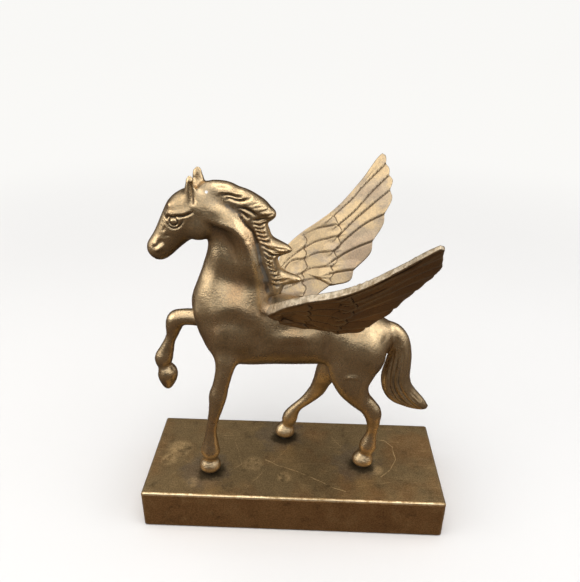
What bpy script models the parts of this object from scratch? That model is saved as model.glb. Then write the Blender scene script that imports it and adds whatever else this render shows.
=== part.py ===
"""Pegasus figurine: a cast brass winged horse, screwed to a solid brass plinth.

The figure is modelled in its own frame: X runs from the head (negative) to the tail, Y to the
horse's far side, and Z up from the top of the plinth. That frame is the empty named figure,
which stands slightly turned on the plinth. Stations and lines below are in millimetres.
"""
import bpy
import bmesh
import numpy as np
from math import atan2, cos, pi, radians, sin
from mathutils import Matrix, Vector

MM = 0.001

# Plinth
PLINTH_LENGTH = 110 * MM
PLINTH_WIDTH = 43 * MM
PLINTH_HEIGHT = 16 * MM
PLINTH_EDGE = 0.9 * MM

# Place of the horse on the plinth
FIGURE_TURN = radians(2.5)
FIGURE_SHIFT = 2.5 * MM

# Feet, in the figure's frame and in millimetres, and the screws that hold them
NEAR_FORE_FOOT = (-31.9, -9.7)
NEAR_HIND_FOOT = (25.6, -6.4)
FAR_HIND_FOOT = (-4.0, 9.8)
HOOF_RADIUS = 4.1
HOOF_GAP = 1.2
SCREW_RADIUS = 1.5 * MM
SCREW_GRIP = 3.0 * MM
SCREW_HEAD_RADIUS = 3.0 * MM
SCREW_HEAD_DEPTH = 1.6 * MM
SCREW_HEAD_RIM = 0.3 * MM
SCREW_RECESS = 0.8 * MM
SCREW_SLOT_WIDTH = 0.8 * MM
SCREW_SLOT_DEPTH = 0.7 * MM
CLEARANCE = 0.3 * MM
CUTTER_OVERRUN = 1.0 * MM

# Wings: the root on the near side, the direction of the span and of the chord
WING_ROOT = (-9.2, -10.3, 66.3)
WING_SPAN_AXIS = (0.589, -0.553, 0.589)
WING_CHORD_AXIS = (0.805, 0.337, -0.488)
WING_THICKNESS = 1.3
WING_ROOT_THICKNESS = 3.6
FEATHER_GROOVE = 0.34
FEATHER_GROOVE_WIDTH = 0.5
FEATHER_STEP = 0.32

# Depth of the horse's carved relief, 1 as cast
RELIEF = 1.2

# Fineness of the cast surfaces, in millimetres and triangles
HORSE_VOXEL = 0.6
WING_VOXEL = 0.4
HORSE_TRIANGLES = 7050
WING_TRIANGLES = 1800
ROUND_STEPS = 12
BLEND_ROUNDS = 36
FREEDOM = "thinning_freedom"
FREEDOM_FACTOR = 0.003


def clear_scene():
    for thing in list(bpy.data.objects):
        bpy.data.objects.remove(thing, do_unlink=True)


def metal(name, colour, roughness):
    material = bpy.data.materials.new(name)
    material.use_nodes = True
    shader = material.node_tree.nodes["Principled BSDF"]
    shader.inputs["Base Color"].default_value = (*colour, 1.0)
    shader.inputs["Metallic"].default_value = 1.0
    shader.inputs["Roughness"].default_value = roughness
    return material


def spline(stations, per_span):
    """Catmull-Rom curve through the stations, all columns together."""
    table = np.array(stations, dtype=float)
    padded = np.vstack([2 * table[0] - table[1], table, 2 * table[-1] - table[-2]])
    rows = []
    for start in range(len(table) - 1):
        a, b, c, d = padded[start:start + 4]
        for step in range(per_span):
            t = step / per_span
            rows.append(0.5 * (2 * b + (c - a) * t + (2 * a - 5 * b + 4 * c - d) * t ** 2
                               + (3 * b - a - 3 * c + d) * t ** 3))
    rows.append(table[-1])
    return np.array(rows)


def loft(mesh, stations, sides=28, per_span=6):
    """Closed loft. Each station is x, y, z, half depth and half width."""
    rows = spline(stations, per_span)
    rows[:, 3:] = np.maximum(rows[:, 3:], 0.15)
    tangents = np.gradient(rows[:, :3], axis=0)
    across = Vector((0, 1, 0))
    rings = []
    for row, tangent in zip(rows, tangents):
        along = Vector(tangent).normalized()
        width = (across - along * along.dot(across)).normalized()
        depth = width.cross(along)
        rings.append([
            mesh.verts.new(Vector(row[:3]) + depth * (row[3] * cos(2 * pi * side / sides))
                           + width * (row[4] * sin(2 * pi * side / sides)))
            for side in range(sides)])
    for lower, upper in zip(rings, rings[1:]):
        for side in range(sides):
            after = (side + 1) % sides
            mesh.faces.new((lower[side], lower[after], upper[after], upper[side]))
    mesh.faces.new(reversed(rings[0]))
    mesh.faces.new(rings[-1])


def ball(mesh, centre, radii, tilt=0.0):
    """A muscle: an ellipsoid turned in the plane of X and Z by tilt degrees."""
    place = Matrix.Translation(centre) @ Matrix.Rotation(radians(tilt), 4, "Y")
    place = place @ Matrix.Diagonal((*radii, 1.0))
    bmesh.ops.create_uvsphere(mesh, u_segments=32, v_segments=20, radius=1.0, matrix=place)


def read_rows(items, name, columns=3):
    rows = np.empty(len(items) * columns)
    items.foreach_get(name, rows)
    return rows.reshape(-1, columns)


def set_vertices(data, points):
    data.vertices.foreach_set("co", points.ravel())
    data.update()


def relaxed(points, edges, weight, rounds):
    """Points moved towards the middle of their neighbours, by weight, round after round."""
    count = np.bincount(edges.ravel(), minlength=len(points)).clip(1)[:, None]
    ends = np.concatenate([edges, edges[:, ::-1]])
    for _ in range(rounds):
        middle = np.stack([np.bincount(ends[:, 0], points[ends[:, 1], axis], len(points))
                           for axis in range(3)], axis=1) / count
        points = points + (middle - points) * weight
    return points


def refine(data, chosen):
    """Split the faces whose centres are chosen, once, and round the new ones off."""
    mesh = bmesh.new()
    mesh.from_mesh(data)
    centres = np.array([face.calc_center_median() for face in mesh.faces])
    inside = chosen(centres)
    numbers = {edge.index for face, wanted in zip(mesh.faces, inside) if wanted
               for edge in face.edges}
    mesh.edges.ensure_lookup_table()
    edges = [mesh.edges[number] for number in sorted(numbers)]
    bmesh.ops.subdivide_edges(mesh, edges=edges, cuts=1, use_grid_fill=True)
    bmesh.ops.triangulate(mesh, faces=[face for face in mesh.faces if len(face.verts) > 4])
    mesh.to_mesh(data)
    mesh.free()
    data.update()
    points = read_rows(data.vertices, "co")
    links = np.empty(len(data.edges) * 2, dtype=np.int32)
    data.edges.foreach_get("vertices", links)
    set_vertices(data, relaxed(points, links.reshape(-1, 2), chosen(points)[:, None] * 0.5, 2))


def along_path(points, path):
    """Distance of each point to a path, and how far along it is, from 0 to 1."""
    nearest = np.full(len(points), np.inf)
    share = np.zeros(len(points))
    for number, (start, end) in enumerate(zip(path[:-1], path[1:])):
        run = end - start
        place = np.clip((points - start) @ run / max(run @ run, 1e-9), 0, 1)
        away = np.linalg.norm(points - start - place[:, None] * run, axis=1)
        closer = away < nearest
        nearest[closer] = away[closer]
        share[closer] = (number + place[closer]) / (len(path) - 1)
    return nearest, share


def chisel(points, normals, lines, width, depth, mirror=True, ends=0.5):
    """Cut grooves of a width and depth along lines on the skin; a negative depth raises them.

    A larger value of ends lets a line fade out over more of its length.
    """
    shift = np.zeros(len(points))
    flat = np.array((1.0, 0.5, 1.0))
    for line in lines:
        for side in ((1, -1) if mirror else (1,)):
            path = spline(line, 3) * (1, side, 1)
            reach = 2.6 * width
            box = ((points > path.min(axis=0) - (reach, reach + 1.2, reach))
                   & (points < path.max(axis=0) + (reach, reach + 1.2, reach)))
            near = np.flatnonzero(box.all(axis=1))
            distance, share = along_path(points[near] * flat, path * flat)
            taper = np.clip(np.sin(np.pi * share), 0, 1) ** ends
            cut = taper * np.exp(-(distance / width) ** 2)
            shift[near] = np.maximum(shift[near], cut)
    return points - normals * (shift * depth)[:, None]


def body_forms(mesh):
    loft(mesh, [
        (-34.6, 0, 65.8, 3.2, 3.0), (-33.0, 0, 65.0, 4.6, 4.6), (-30.9, 0, 63.4, 6.2, 6.4),
        (-27.8, 0, 60.6, 9.0, 8.4), (-23.0, 0, 57.6, 13.4, 9.9), (-17.0, 0, 56.6, 13.7, 10.2),
        (-9.0, 0, 56.3, 13.3, 9.6), (0.0, 0, 55.2, 12.1, 9.7), (10.0, 0, 54.2, 11.0, 8.9),
        (18.0, 0, 54.0, 11.0, 9.6), (25.0, 0, 53.0, 10.3, 9.0), (30.0, 0, 52.3, 8.2, 7.0),
        (33.0, 0, 51.5, 4.5, 4.0)])
    for side in (-1, 1):
        ball(mesh, (-24.5, side * 5.6, 57.5), (6.0, 5.5, 10.0), 14)
        ball(mesh, (22.0, side * 5.4, 50.5), (9.2, 5.8, 11.0), -18)
        ball(mesh, (-32.2, side * 3.4, 64.5), (3.4, 3.4, 5.2), -8)
        ball(mesh, (-4.0, side * 4.2, 64.0), (10.0, 4.4, 3.6), 4)
        ball(mesh, (-15.5, side * 4.6, 64.5), (7.5, 4.8, 7.0), 0)


def neck_and_head(mesh):
    loft(mesh, [
        (-20.5, 0, 58.0, 9.0, 7.5), (-21.6, 0, 62.5, 11.8, 8.6), (-22.6, 0, 67.0, 13.7, 9.0),
        (-22.2, 0, 73.5, 12.2, 8.0), (-21.9, 0, 80.0, 10.2, 6.6), (-21.6, 0, 85.5, 8.6, 5.5),
        (-21.9, 0, 91.0, 7.7, 4.9), (-23.8, 0, 97.0, 7.2, 4.7), (-26.7, 0, 102.3, 6.5, 4.5),
        (-29.5, 0, 105.3, 4.8, 3.6)])
    loft(mesh, [
        (-29.5, 0, 101.8, 6.4, 4.6), (-32.3, 0, 100.5, 7.6, 5.4), (-35.2, 0, 98.6, 7.8, 5.5),
        (-37.8, 0, 95.8, 6.9, 5.0), (-40.4, 0, 92.7, 5.8, 4.3), (-42.9, 0, 89.7, 4.9, 3.7),
        (-45.0, 0, 87.3, 4.5, 3.7), (-46.6, 0, 85.5, 3.7, 3.3), (-47.6, 0, 84.4, 2.2, 2.2)])
    for side in (-1, 1):
        ball(mesh, (-31.4, side * 3.0, 95.8), (4.8, 2.9, 5.4), 25)
        ball(mesh, (-38.3, side * 3.2, 101.6), (3.4, 1.7, 1.9), 30)
        ball(mesh, (-44.6, side * 2.4, 88.6), (2.6, 1.9, 2.2), 40)
        loft(mesh, [
            (-31.0, side * 2.6, 103.0, 2.8, 2.2), (-27.0, side * 3.2, 100.8, 3.4, 2.6),
            (-22.5, side * 3.6, 97.6, 3.6, 2.8), (-18.8, side * 3.9, 92.0, 3.6, 2.9),
            (-16.6, side * 4.4, 85.0, 3.8, 3.0), (-15.4, side * 4.9, 77.0, 4.4, 3.4),
            (-14.8, side * 4.8, 69.0, 4.6, 3.4), (-14.6, side * 3.4, 61.0, 4.0, 3.2)])
        ball(mesh, (-29.6, side * 2.2, 104.0), (3.8, 2.4, 2.7), 20)
    ear(mesh, (-33.4, -3.3, 101.5), 11.0, 1.75)
    ear(mesh, (-31.8, 3.0, 102.5), 11.1, 2.0)


def ear(mesh, foot, length, half):
    x, y, z = foot
    loft(mesh, [
        (x + 0.3, y, z, half * 0.8, 1.3), (x, y, z + length * 0.28, half, 1.45),
        (x - 0.1, y, z + length * 0.55, half * 0.98, 1.3),
        (x, y, z + length * 0.8, half * 0.86, 1.1), (x + 0.1, y, z + length * 0.94, half * 0.62, 0.85),
        (x + 0.15, y, z + length, half * 0.3, 0.5)])


MANE_CREST = [
    (-31.0, 0, 107.4, 1.6, 2.0), (-27.0, 0, 107.0, 2.8, 3.4), (-22.0, 0, 105.2, 3.8, 4.2),
    (-17.4, 0, 101.2, 3.6, 4.3), (-13.8, 0, 95.2, 3.7, 4.4), (-11.8, 0, 90.0, 3.5, 4.5),
    (-10.2, 0, 84.0, 3.3, 4.9), (-8.8, 0, 78.0, 3.4, 5.3), (-8.0, 0, 71.0, 3.4, 5.4)]
MANE_LOCKS = (
    ((-25.0, 105.6, 2.8), (-18.5, 103.9, 3.6), (-13.4, 100.8, 3.8), (-10.2, 99.1, 3.0),
     (-8.1, 98.9, 1.9), (-6.9, 99.0, 0.7)),
    ((-14.0, 92.0, 3.2), (-10.2, 88.2, 3.5), (-7.2, 87.2, 3.0), (-4.6, 86.9, 2.1),
     (-2.8, 86.6, 1.3), (-1.7, 86.4, 0.5)),
    ((-12.4, 82.4, 3.6), (-8.4, 78.4, 3.3), (-4.6, 76.5, 2.5), (-1.2, 76.0, 1.7),
     (0.7, 75.8, 1.1), (1.8, 75.6, 0.5)))


def mane(mesh):
    loft(mesh, MANE_CREST)
    for lock in MANE_LOCKS:
        loft(mesh, [(x, 0, z, half, half * 1.15) for x, z, half in lock])


def hoof(mesh, foot, toe):
    """A round hoof on the plinth's gap; toe is how far its top leans back over the sole."""
    x, y = foot
    loft(mesh, [
        (x + toe * share, y, z, HOOF_RADIUS * size, HOOF_RADIUS * size * 0.94)
        for z, size, share in ((6.4, 0.56, 1), (5.4, 0.78, 0.8), (3.9, 0.96, 0.5), (2.4, 1, 0.15),
                               (HOOF_GAP, 0.88, 0))])


def legs(mesh):
    x, y = NEAR_FORE_FOOT
    loft(mesh, [
        (-23.3, -6.4, 57.0, 6.0, 4.0), (-23.9, -7.6, 51.0, 4.9, 3.8), (-25.1, -8.7, 44.5, 3.4, 3.2),
        (-26.4, -9.3, 39.0, 2.95, 2.8), (-27.6, -9.5, 34.5, 3.3, 3.0), (-28.4, -9.6, 30.0, 2.7, 2.6),
        (-29.7, -9.7, 24.5, 2.15, 2.05), (-30.7, -9.7, 19.0, 2.1, 2.0), (-31.1, -9.7, 14.0, 2.85, 2.6),
        (-31.4, -9.7, 10.2, 3.6, 3.2), (-31.5, -9.7, 8.2, 3.4, 3.0), (x + 0.3, y, 6.6, 2.5, 2.3),
        (x + 0.2, y, 5.0, 2.4, 2.2)])
    hoof(mesh, NEAR_FORE_FOOT, 0.2)
    x, y = NEAR_HIND_FOOT
    loft(mesh, [
        (20.6, -5.4, 50.0, 10.2, 4.8), (19.8, -5.9, 42.8, 8.8, 5.0), (20.4, -6.2, 36.6, 6.2, 4.6),
        (22.9, -6.3, 31.6, 4.2, 3.5), (26.2, -6.4, 28.0, 3.5, 2.8), (28.2, -6.4, 24.8, 3.45, 2.7),
        (28.8, -6.4, 20.0, 2.5, 2.2), (28.6, -6.4, 16.0, 2.05, 1.95), (28.0, -6.4, 12.9, 2.6, 2.4),
        (27.5, -6.4, 9.9, 3.3, 3.0), (27.3, -6.4, 7.8, 3.2, 2.8), (x + 1.4, y, 6.4, 2.5, 2.2),
        (x + 0.8, y, 4.6, 2.4, 2.2)])
    hoof(mesh, NEAR_HIND_FOOT, 1.3)
    x, y = FAR_HIND_FOOT
    loft(mesh, [
        (19.5, 5.4, 49.0, 9.2, 4.8), (16.4, 6.6, 41.5, 7.2, 5.0), (12.4, 7.4, 34.0, 4.8, 4.2),
        (10.2, 8.0, 28.6, 3.5, 3.1), (8.6, 8.4, 24.4, 3.2, 2.7), (5.0, 8.8, 19.6, 2.35, 2.2),
        (1.6, 9.2, 16.0, 2.0, 1.95), (-0.5, 9.6, 12.9, 2.5, 2.3), (-1.6, 9.8, 10.2, 3.1, 2.8),
        (-2.2, 9.8, 8.1, 3.0, 2.7), (x + 1.3, y, 6.5, 2.4, 2.2), (x + 0.7, y, 4.6, 2.4, 2.2)])
    hoof(mesh, FAR_HIND_FOOT, 1.0)
    loft(mesh, [
        (-28.5, 5.8, 56.5, 5.2, 4.2), (-33.0, 6.6, 57.2, 4.0, 3.8), (-37.0, 7.0, 57.2, 3.3, 3.2),
        (-40.5, 7.0, 57.2, 3.1, 3.0), (-43.3, 7.0, 56.4, 3.4, 3.1), (-44.5, 7.0, 53.4, 3.1, 2.8),
        (-45.3, 7.0, 50.0, 2.3, 2.2), (-46.4, 7.0, 47.4, 2.1, 2.1), (-47.9, 7.0, 43.3, 2.8, 2.5),
        (-49.2, 7.0, 40.0, 3.45, 3.0), (-49.7, 7.0, 37.9, 3.1, 2.7), (-49.9, 7.0, 36.2, 2.2, 2.1)])
    loft(mesh, [
        (-49.8, 7.0, 36.8, 2.0, 2.0), (-49.1, 7.0, 35.2, 3.1, 3.0), (-48.4, 7.0, 33.4, 3.85, 3.6),
        (-48.5, 7.0, 31.0, 3.65, 3.4), (-48.7, 7.0, 28.2, 2.6, 2.4), (-48.8, 7.0, 26.2, 1.4, 1.3),
        (-48.9, 7.0, 25.6, 0.5, 0.5)])


TAIL = [
    (29.5, 0, 57.0, 2.6, 2.4), (33.3, 0, 56.2, 3.3, 3.0), (36.2, 0, 52.5, 3.8, 3.6),
    (37.2, 0, 47.0, 4.3, 4.2), (36.9, 0, 41.5, 4.9, 4.6), (36.6, 0, 36.0, 5.4, 4.8),
    (38.3, 0, 31.0, 5.4, 4.4), (42.4, 0, 27.3, 4.2, 3.4), (46.6, 0, 24.5, 2.8, 2.3),
    (49.2, 0, 22.8, 1.5, 1.2), (50.0, 0, 22.2, 0.6, 0.5)]

# Lines cut into the horse, on its near side and mirrored to its far side
MANE_SEAM = ((-19.8, -4.1, 103.4), (-19.5, -4.1, 102.0), (-18.3, -3.8, 99.4), (-16.4, -3.9, 96.4),
             (-14.9, -4.0, 94.7), (-13.8, -4.1, 92.4), (-13.0, -4.1, 89.5), (-12.5, -4.3, 86.3),
             (-12.0, -4.7, 83.5), (-11.0, -4.7, 80.4), (-9.8, -5.0, 77.5), (-8.1, -5.3, 74.0))
MANE_DEEP = (
    ((-24.6, -3.8, 105.9), (-21.7, -3.9, 106.1), (-19.1, -3.7, 105.6), (-17.4, -3.5, 105.4)),
    ((-23.2, -4.0, 105.1), (-21.2, -4.2, 105.0), (-19.2, -4.1, 104.4), (-17.1, -3.9, 104.4),
     (-14.5, -2.9, 105.2)),
    ((-19.2, -4.1, 101.9), (-16.8, -4.1, 101.7), (-14.8, -3.9, 100.7), (-13.1, -3.6, 99.3)),
    ((-18.6, -4.1, 101.1), (-17.4, -4.1, 100.0), (-15.6, -4.2, 98.5)))
MANE_COMB = (
    ((-14.5, -4.0, 98.1), (-12.2, -3.6, 97.9), (-9.6, -2.4, 98.3)),
    ((-14.3, -4.2, 97.0), (-12.2, -3.8, 96.3), (-10.2, -2.6, 96.6)),
    ((-13.8, -4.2, 95.5), (-12.4, -3.9, 95.2), (-10.7, -2.7, 94.8)),
    ((-13.5, -4.2, 94.2), (-12.2, -4.0, 93.9), (-10.4, -3.0, 93.1)),
    ((-13.2, -4.2, 92.9), (-11.9, -4.2, 92.5), (-9.8, -3.0, 91.8)),
    ((-12.5, -4.3, 91.5), (-10.8, -4.0, 91.0), (-8.5, -3.0, 90.2)),
    ((-12.1, -4.4, 90.0), (-10.3, -4.1, 89.1), (-8.7, -3.4, 88.0), (-6.5, -2.5, 87.2)),
    ((-11.4, -4.5, 88.3), (-9.5, -4.1, 87.0), (-7.8, -3.2, 85.7), (-5.6, -2.4, 85.5)),
    ((-11.2, -4.6, 86.6), (-9.9, -4.5, 85.4), (-8.4, -4.1, 84.4)),
    ((-10.9, -4.7, 85.0), (-9.5, -4.7, 83.8), (-8.2, -4.3, 83.0)),
    ((-10.3, -4.9, 83.3), (-8.9, -4.8, 82.2), (-7.7, -4.2, 81.5)),
    ((-9.6, -5.0, 81.4), (-8.1, -4.7, 80.6), (-6.6, -3.8, 80.2)),
    ((-9.2, -5.0, 79.6), (-6.2, -4.0, 78.7), (-3.4, -2.6, 78.0)),
    ((-9.0, -5.2, 78.0), (-6.1, -4.0, 77.0), (-2.4, -2.4, 76.8)),
    ((-8.9, -5.2, 76.4), (-6.4, -4.4, 75.4), (-2.8, -2.6, 75.2)))
MANE_FINE = (
    ((-25.6, -2.8, 108.4), (-23.6, -2.8, 108.4), (-21.6, -2.4, 108.3)),
    ((-20.6, -2.9, 107.2), (-19.0, -2.9, 106.9), (-17.2, -2.4, 106.7)),
    ((-15.4, -3.8, 102.8), (-13.7, -3.6, 103.3), (-12.2, -2.8, 103.6)),
    ((-14.4, -3.9, 101.9), (-12.3, -3.6, 102.2), (-10.9, -2.9, 102.3)),
    ((-12.6, -3.9, 100.6), (-10.6, -3.2, 100.9), (-9.0, -2.2, 101.3)),
    ((-12.2, -3.8, 99.2), (-10.2, -3.0, 99.0), (-8.0, -1.6, 99.4)),
    ((-8.2, -3.4, 88.6), (-5.6, -2.4, 87.8), (-3.4, -1.2, 87.2)))
TAIL_LINES = (
    ((34.0, -2.7, 49.9), (33.4, -2.1, 45.6), (32.5, -2.4, 40.6), (32.2, -2.6, 35.5),
     (33.5, -2.9, 31.4), (37.1, -3.2, 27.4), (42.4, -2.2, 24.0)),
    ((34.6, -3.1, 50.3), (34.2, -3.1, 45.6), (33.6, -3.6, 40.1), (33.9, -4.0, 35.2),
     (35.6, -4.1, 31.2), (39.4, -3.2, 26.7), (44.2, -2.0, 23.4)),
    ((35.7, -3.6, 50.3), (35.5, -3.9, 45.5), (35.1, -4.3, 40.6), (35.4, -4.6, 35.6),
     (37.3, -4.4, 31.1), (41.5, -3.0, 25.9), (45.6, -1.8, 23.2)),
    ((37.5, -3.7, 51.0), (37.3, -4.3, 45.7), (37.0, -4.6, 40.8), (37.2, -4.7, 36.4),
     (39.5, -4.2, 31.3), (44.3, -2.5, 24.8), (47.2, -1.4, 23.0)))
TAIL_FINE = (
    ((37.9, -2.5, 54.4), (39.3, -2.7, 51.6), (40.0, -2.9, 48.0), (40.0, -3.5, 42.7),
     (39.8, -3.7, 37.6), (40.4, -3.7, 33.4)),
    ((41.3, -3.3, 32.7), (43.7, -2.6, 29.8), (46.7, -2.0, 26.3)),
    ((40.8, -3.7, 31.7), (43.1, -3.2, 28.7), (45.8, -2.5, 25.6)))
EYE = (-39.2, -4.9, 97.7)
EYE_CREASES = (
    ((-41.6, -3.6, 98.3), (-40.6, -4.2, 99.2), (-39.3, -4.7, 99.5), (-37.3, -5.2, 99.6),
     (-34.4, -5.5, 100.4), (-32.5, -5.3, 101.4)),
    ((-41.5, -4.1, 96.9), (-40.2, -4.7, 95.4), (-38.8, -5.0, 95.2), (-36.8, -5.4, 97.0),
     (-35.6, -5.5, 98.9)),
    ((-42.0, -4.2, 95.6), (-43.0, -3.8, 93.9)), ((-42.9, -3.8, 92.6), (-40.4, -4.4, 92.6)))
NOSTRIL = ((-46.9, -3.1, 88.1), (-45.6, -3.4, 88.9), (-44.2, -3.6, 90.1), (-43.1, -3.7, 90.9))
NOSTRIL_RIM = ((-45.9, -3.6, 87.2), (-44.3, -3.9, 88.2), (-42.9, -4.0, 89.7))
EAR_HOLLOW = ((-33.0, -4.6, 103.2), (-33.0, -4.8, 105.8), (-33.1, -4.6, 108.2), (-33.2, -4.2, 110.2))
BROW = ((-41.8, -3.0, 99.6), (-40.4, -3.9, 100.6), (-38.4, -4.7, 100.9), (-35.6, -5.2, 101.2),
        (-33.2, -5.2, 102.2))
CHEEK_EDGE = ((-33.4, -5.5, 101.4), (-30.9, -5.2, 100.5), (-28.1, -5.3, 98.5), (-25.4, -5.7, 97.4),
              (-22.7, -6.3, 96.9), (-20.6, -6.7, 94.8), (-19.1, -6.8, 92.0), (-17.5, -7.1, 88.9),
              (-15.7, -7.2, 86.0))
NECK_HOLLOW = ((-28.6, -4.4, 95.2), (-25.7, -4.5, 93.6), (-23.1, -5.0, 90.9), (-21.3, -5.9, 88.0),
               (-20.2, -6.5, 84.3), (-19.8, -6.8, 79.8))
THROAT = ((-27.2, -3.6, 88.9), (-26.4, -4.4, 86.3), (-26.7, -5.3, 82.1), (-27.9, -6.0, 77.8),
          (-29.5, -6.5, 73.3))
ELBOW_HOLLOW = ((-14.5, -10.0, 61.5), (-12.8, -10.2, 56.5), (-13.6, -9.8, 51.0))
FLANK_HOLLOW = ((9.4, -8.6, 61.0), (10.1, -8.8, 56.5), (10.0, -8.9, 52.0), (9.6, -8.2, 47.0))
STIFLE = ((16.6, -10.4, 43.0), (18.9, -10.8, 43.4), (21.4, -10.8, 43.2))
RUMP = ((30.0, -4.4, 59.4), (30.6, -5.6, 57.1), (30.6, -6.3, 55.2), (32.4, -4.8, 52.6))
KNEE_NICK = ((-30.4, -11.4, 24.2), (-29.3, -11.7, 23.6), (-28.5, -11.2, 24.4))
NECK_NICKS = (((-18.8, -7.1, 85.4), (-18.2, -7.2, 85.0), (-17.2, -7.2, 85.1)),
              ((-17.8, -8.1, 76.1), (-16.9, -8.2, 75.9), (-15.6, -8.2, 75.7)),
              ((-16.6, -6.3, 92.6), (-16.1, -6.2, 91.6)))


def blend_forms(data):
    """Let the trunk, neck and the tops of the limbs flow into each other."""
    points = read_rows(data.vertices, "co")
    x, y, z = points.T
    trunk = np.clip((z - 41) / 6, 0, 1) * np.clip((99 - z) / 8, 0, 1)
    trunk *= np.clip((x + 39) / 4, 0, 1) * np.clip((33 - x) / 4, 0, 1)
    crest = np.clip((x + 16.5 + (z - 92) * 0.25) / 2, 0, 1) * np.clip((z - 70) / 4, 0, 1)
    weight = 0.06 + 0.44 * trunk * (1 - crest)
    weight[(z > 90) & (x < -27)] = 0.22
    links = np.empty(len(data.edges) * 2, dtype=np.int32)
    data.edges.foreach_get("vertices", links)
    set_vertices(data, relaxed(points, links.reshape(-1, 2), weight[:, None], BLEND_ROUNDS))


def carve_horse(data, depth):
    """Cut the mane, tail, eyes, nostrils and muscle lines; depth is 1 for the real relief."""
    points, normals = read_rows(data.vertices, "co"), read_rows(data.vertices, "normal")
    for lines, width, cut in (
            ([CHEEK_EDGE], 1.7, -0.5), ([NECK_HOLLOW], 2.6, 0.7), ([THROAT], 1.8, -0.3),
            ([ELBOW_HOLLOW], 3.0, 0.7), ([FLANK_HOLLOW], 2.8, 0.9), ([RUMP], 1.3, 0.5)):
        points = chisel(points, normals, lines, width, cut * depth, ends=1.2)
    set_vertices(data, points)
    normals = read_rows(data.vertices, "normal")
    for lines, width, cut in (
            ([MANE_SEAM], 0.55, 0.75), (MANE_DEEP, 0.5, 0.8), (MANE_COMB, 0.38, 0.55),
            (MANE_FINE, 0.32, 0.28), (TAIL_LINES, 0.55, 0.6), (TAIL_FINE, 0.35, 0.22),
            (EYE_CREASES[:2], 0.42, 0.5), (EYE_CREASES[2:], 0.4, 0.2), ([NOSTRIL], 0.8, 0.55),
            ([NOSTRIL_RIM], 0.6, -0.25), ([EAR_HOLLOW], 0.45, 0.7), ([BROW], 0.8, -0.4)):
        points = chisel(points, normals, lines, width, cut * depth)
    for lines, width, cut in (([STIFLE], 0.5, -0.3), ([KNEE_NICK], 0.3, 0.18), (NECK_NICKS, 0.3, 0.2)):
        points = chisel(points, normals, lines, width, cut * depth, mirror=False)
    for side in (1, -1):
        distance = np.linalg.norm(points - np.array(EYE) * (1, side, 1), axis=1)
        rise = 0.5 * np.sqrt(np.clip(1 - (distance / 1.2) ** 2, 0, 1))
        rise -= 0.4 * np.exp(-((distance - 1.4) / 0.28) ** 2)
        rise += 0.28 * np.exp(-((distance - 1.95) / 0.3) ** 2)
        points = points + normals * (rise * depth)[:, None]
    set_vertices(data, points)


def mane_region(points):
    x, y, z = points.T
    return (z > 73) & (x > -27) & (x + 21 > (104 - z) * 0.62)


def fine_regions(points):
    """True where the horse carries fine relief: head, mane, tail and hooves."""
    x, y, z = points.T
    return mane_region(points) | ((z > 84) & (x < -29)) | ((x > 30.5) & (z < 53)) | (z < 9)


# Flat pattern of a wing in millimetres: along the span from the root, across to the feather tips
WING_FRONT = ((1.4, -1.8), (4.8, -3.0), (9.5, -4.0), (13.0, -5.0), (18.0, -5.4), (25.0, -4.2),
              (32.0, -2.1), (39.0, -0.2), (46.0, 0.9), (56.6, 1.5), (65.8, 1.2), (69.3, 1.6))
FEATHER_TIPS = (
    ((69.3, 1.6), (68.8, 3.5), (66.4, 5.0)), ((66.4, 5.0), (65.3, 7.3), (63.1, 8.7)),
    ((63.1, 8.7), (61.8, 11.2), (58.1, 12.4)), ((58.1, 12.4), (55.2, 15.2), (48.9, 16.2)),
    ((48.9, 16.2), (45.1, 18.2), (38.1, 18.7)), ((38.1, 18.7), (33.6, 20.7), (25.6, 19.4)),
    ((25.6, 19.4), (21.4, 20.5), (15.5, 15.7)), ((15.5, 15.7), (12.0, 14.7), (8.2, 13.8)))
WING_BACK = ((8.2, 13.8), (5.8, 11.2), (2.8, 7.8), (0.4, 4.6), (0.4, 1.6))
# Lines between the long feathers and between the coverts
FEATHER_LINES = (
    ((66.4, 5.0), (53.4, 3.2), (47.1, 2.8), (41.8, 1.8), (35.9, 0.8)),
    ((63.1, 8.7), (53.4, 7.2), (44.0, 6.4), (35.6, 4.6)),
    ((58.1, 12.4), (49.1, 10.2), (41.1, 8.4), (32.3, 7.1)),
    ((48.9, 16.2), (42.1, 12.5), (33.7, 10.2), (27.0, 9.2)),
    ((38.1, 18.7), (33.6, 15.6), (28.7, 13.0), (22.9, 10.9)),
    ((25.6, 19.4), (22.4, 15.8), (18.6, 12.9)), ((15.5, 15.7), (15.0, 12.0), (14.4, 9.8)))
COVERT_LINES = (
    ((35.7, 4.4), (30.1, -0.8), (24.4, -3.4)), ((32.3, 7.1), (26.2, 2.1), (20.3, -0.4)),
    ((26.6, 9.2), (22.5, 4.7), (17.3, 2.1)), ((21.4, 11.6), (16.4, 6.5), (11.9, 4.7)),
    ((17.2, 13.8), (13.1, 8.9), (9.3, 6.7)), ((20.3, -0.4), (14.0, -2.0), (8.0, -2.4)),
    ((17.0, 2.0), (13.3, -1.0), (7.0, -0.8)), ((12.0, 4.8), (8.0, 2.4), (4.5, 0.8)),
    ((10.0, 6.6), (7.0, 5.2), (3.6, 3.6)))
# Corners between the rounded ends of the two rows of coverts
COVERT_ROWS = (
    ((35.6, -1.6), (35.7, 4.6), (32.0, 7.2), (26.7, 9.2), (21.2, 11.8), (17.2, 14.0), (14.6, 15.8)),
    ((24.4, -4.6), (20.4, -0.4), (17.2, 2.0), (12.0, 4.8), (9.2, 6.8), (6.2, 10.0)))
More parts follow.
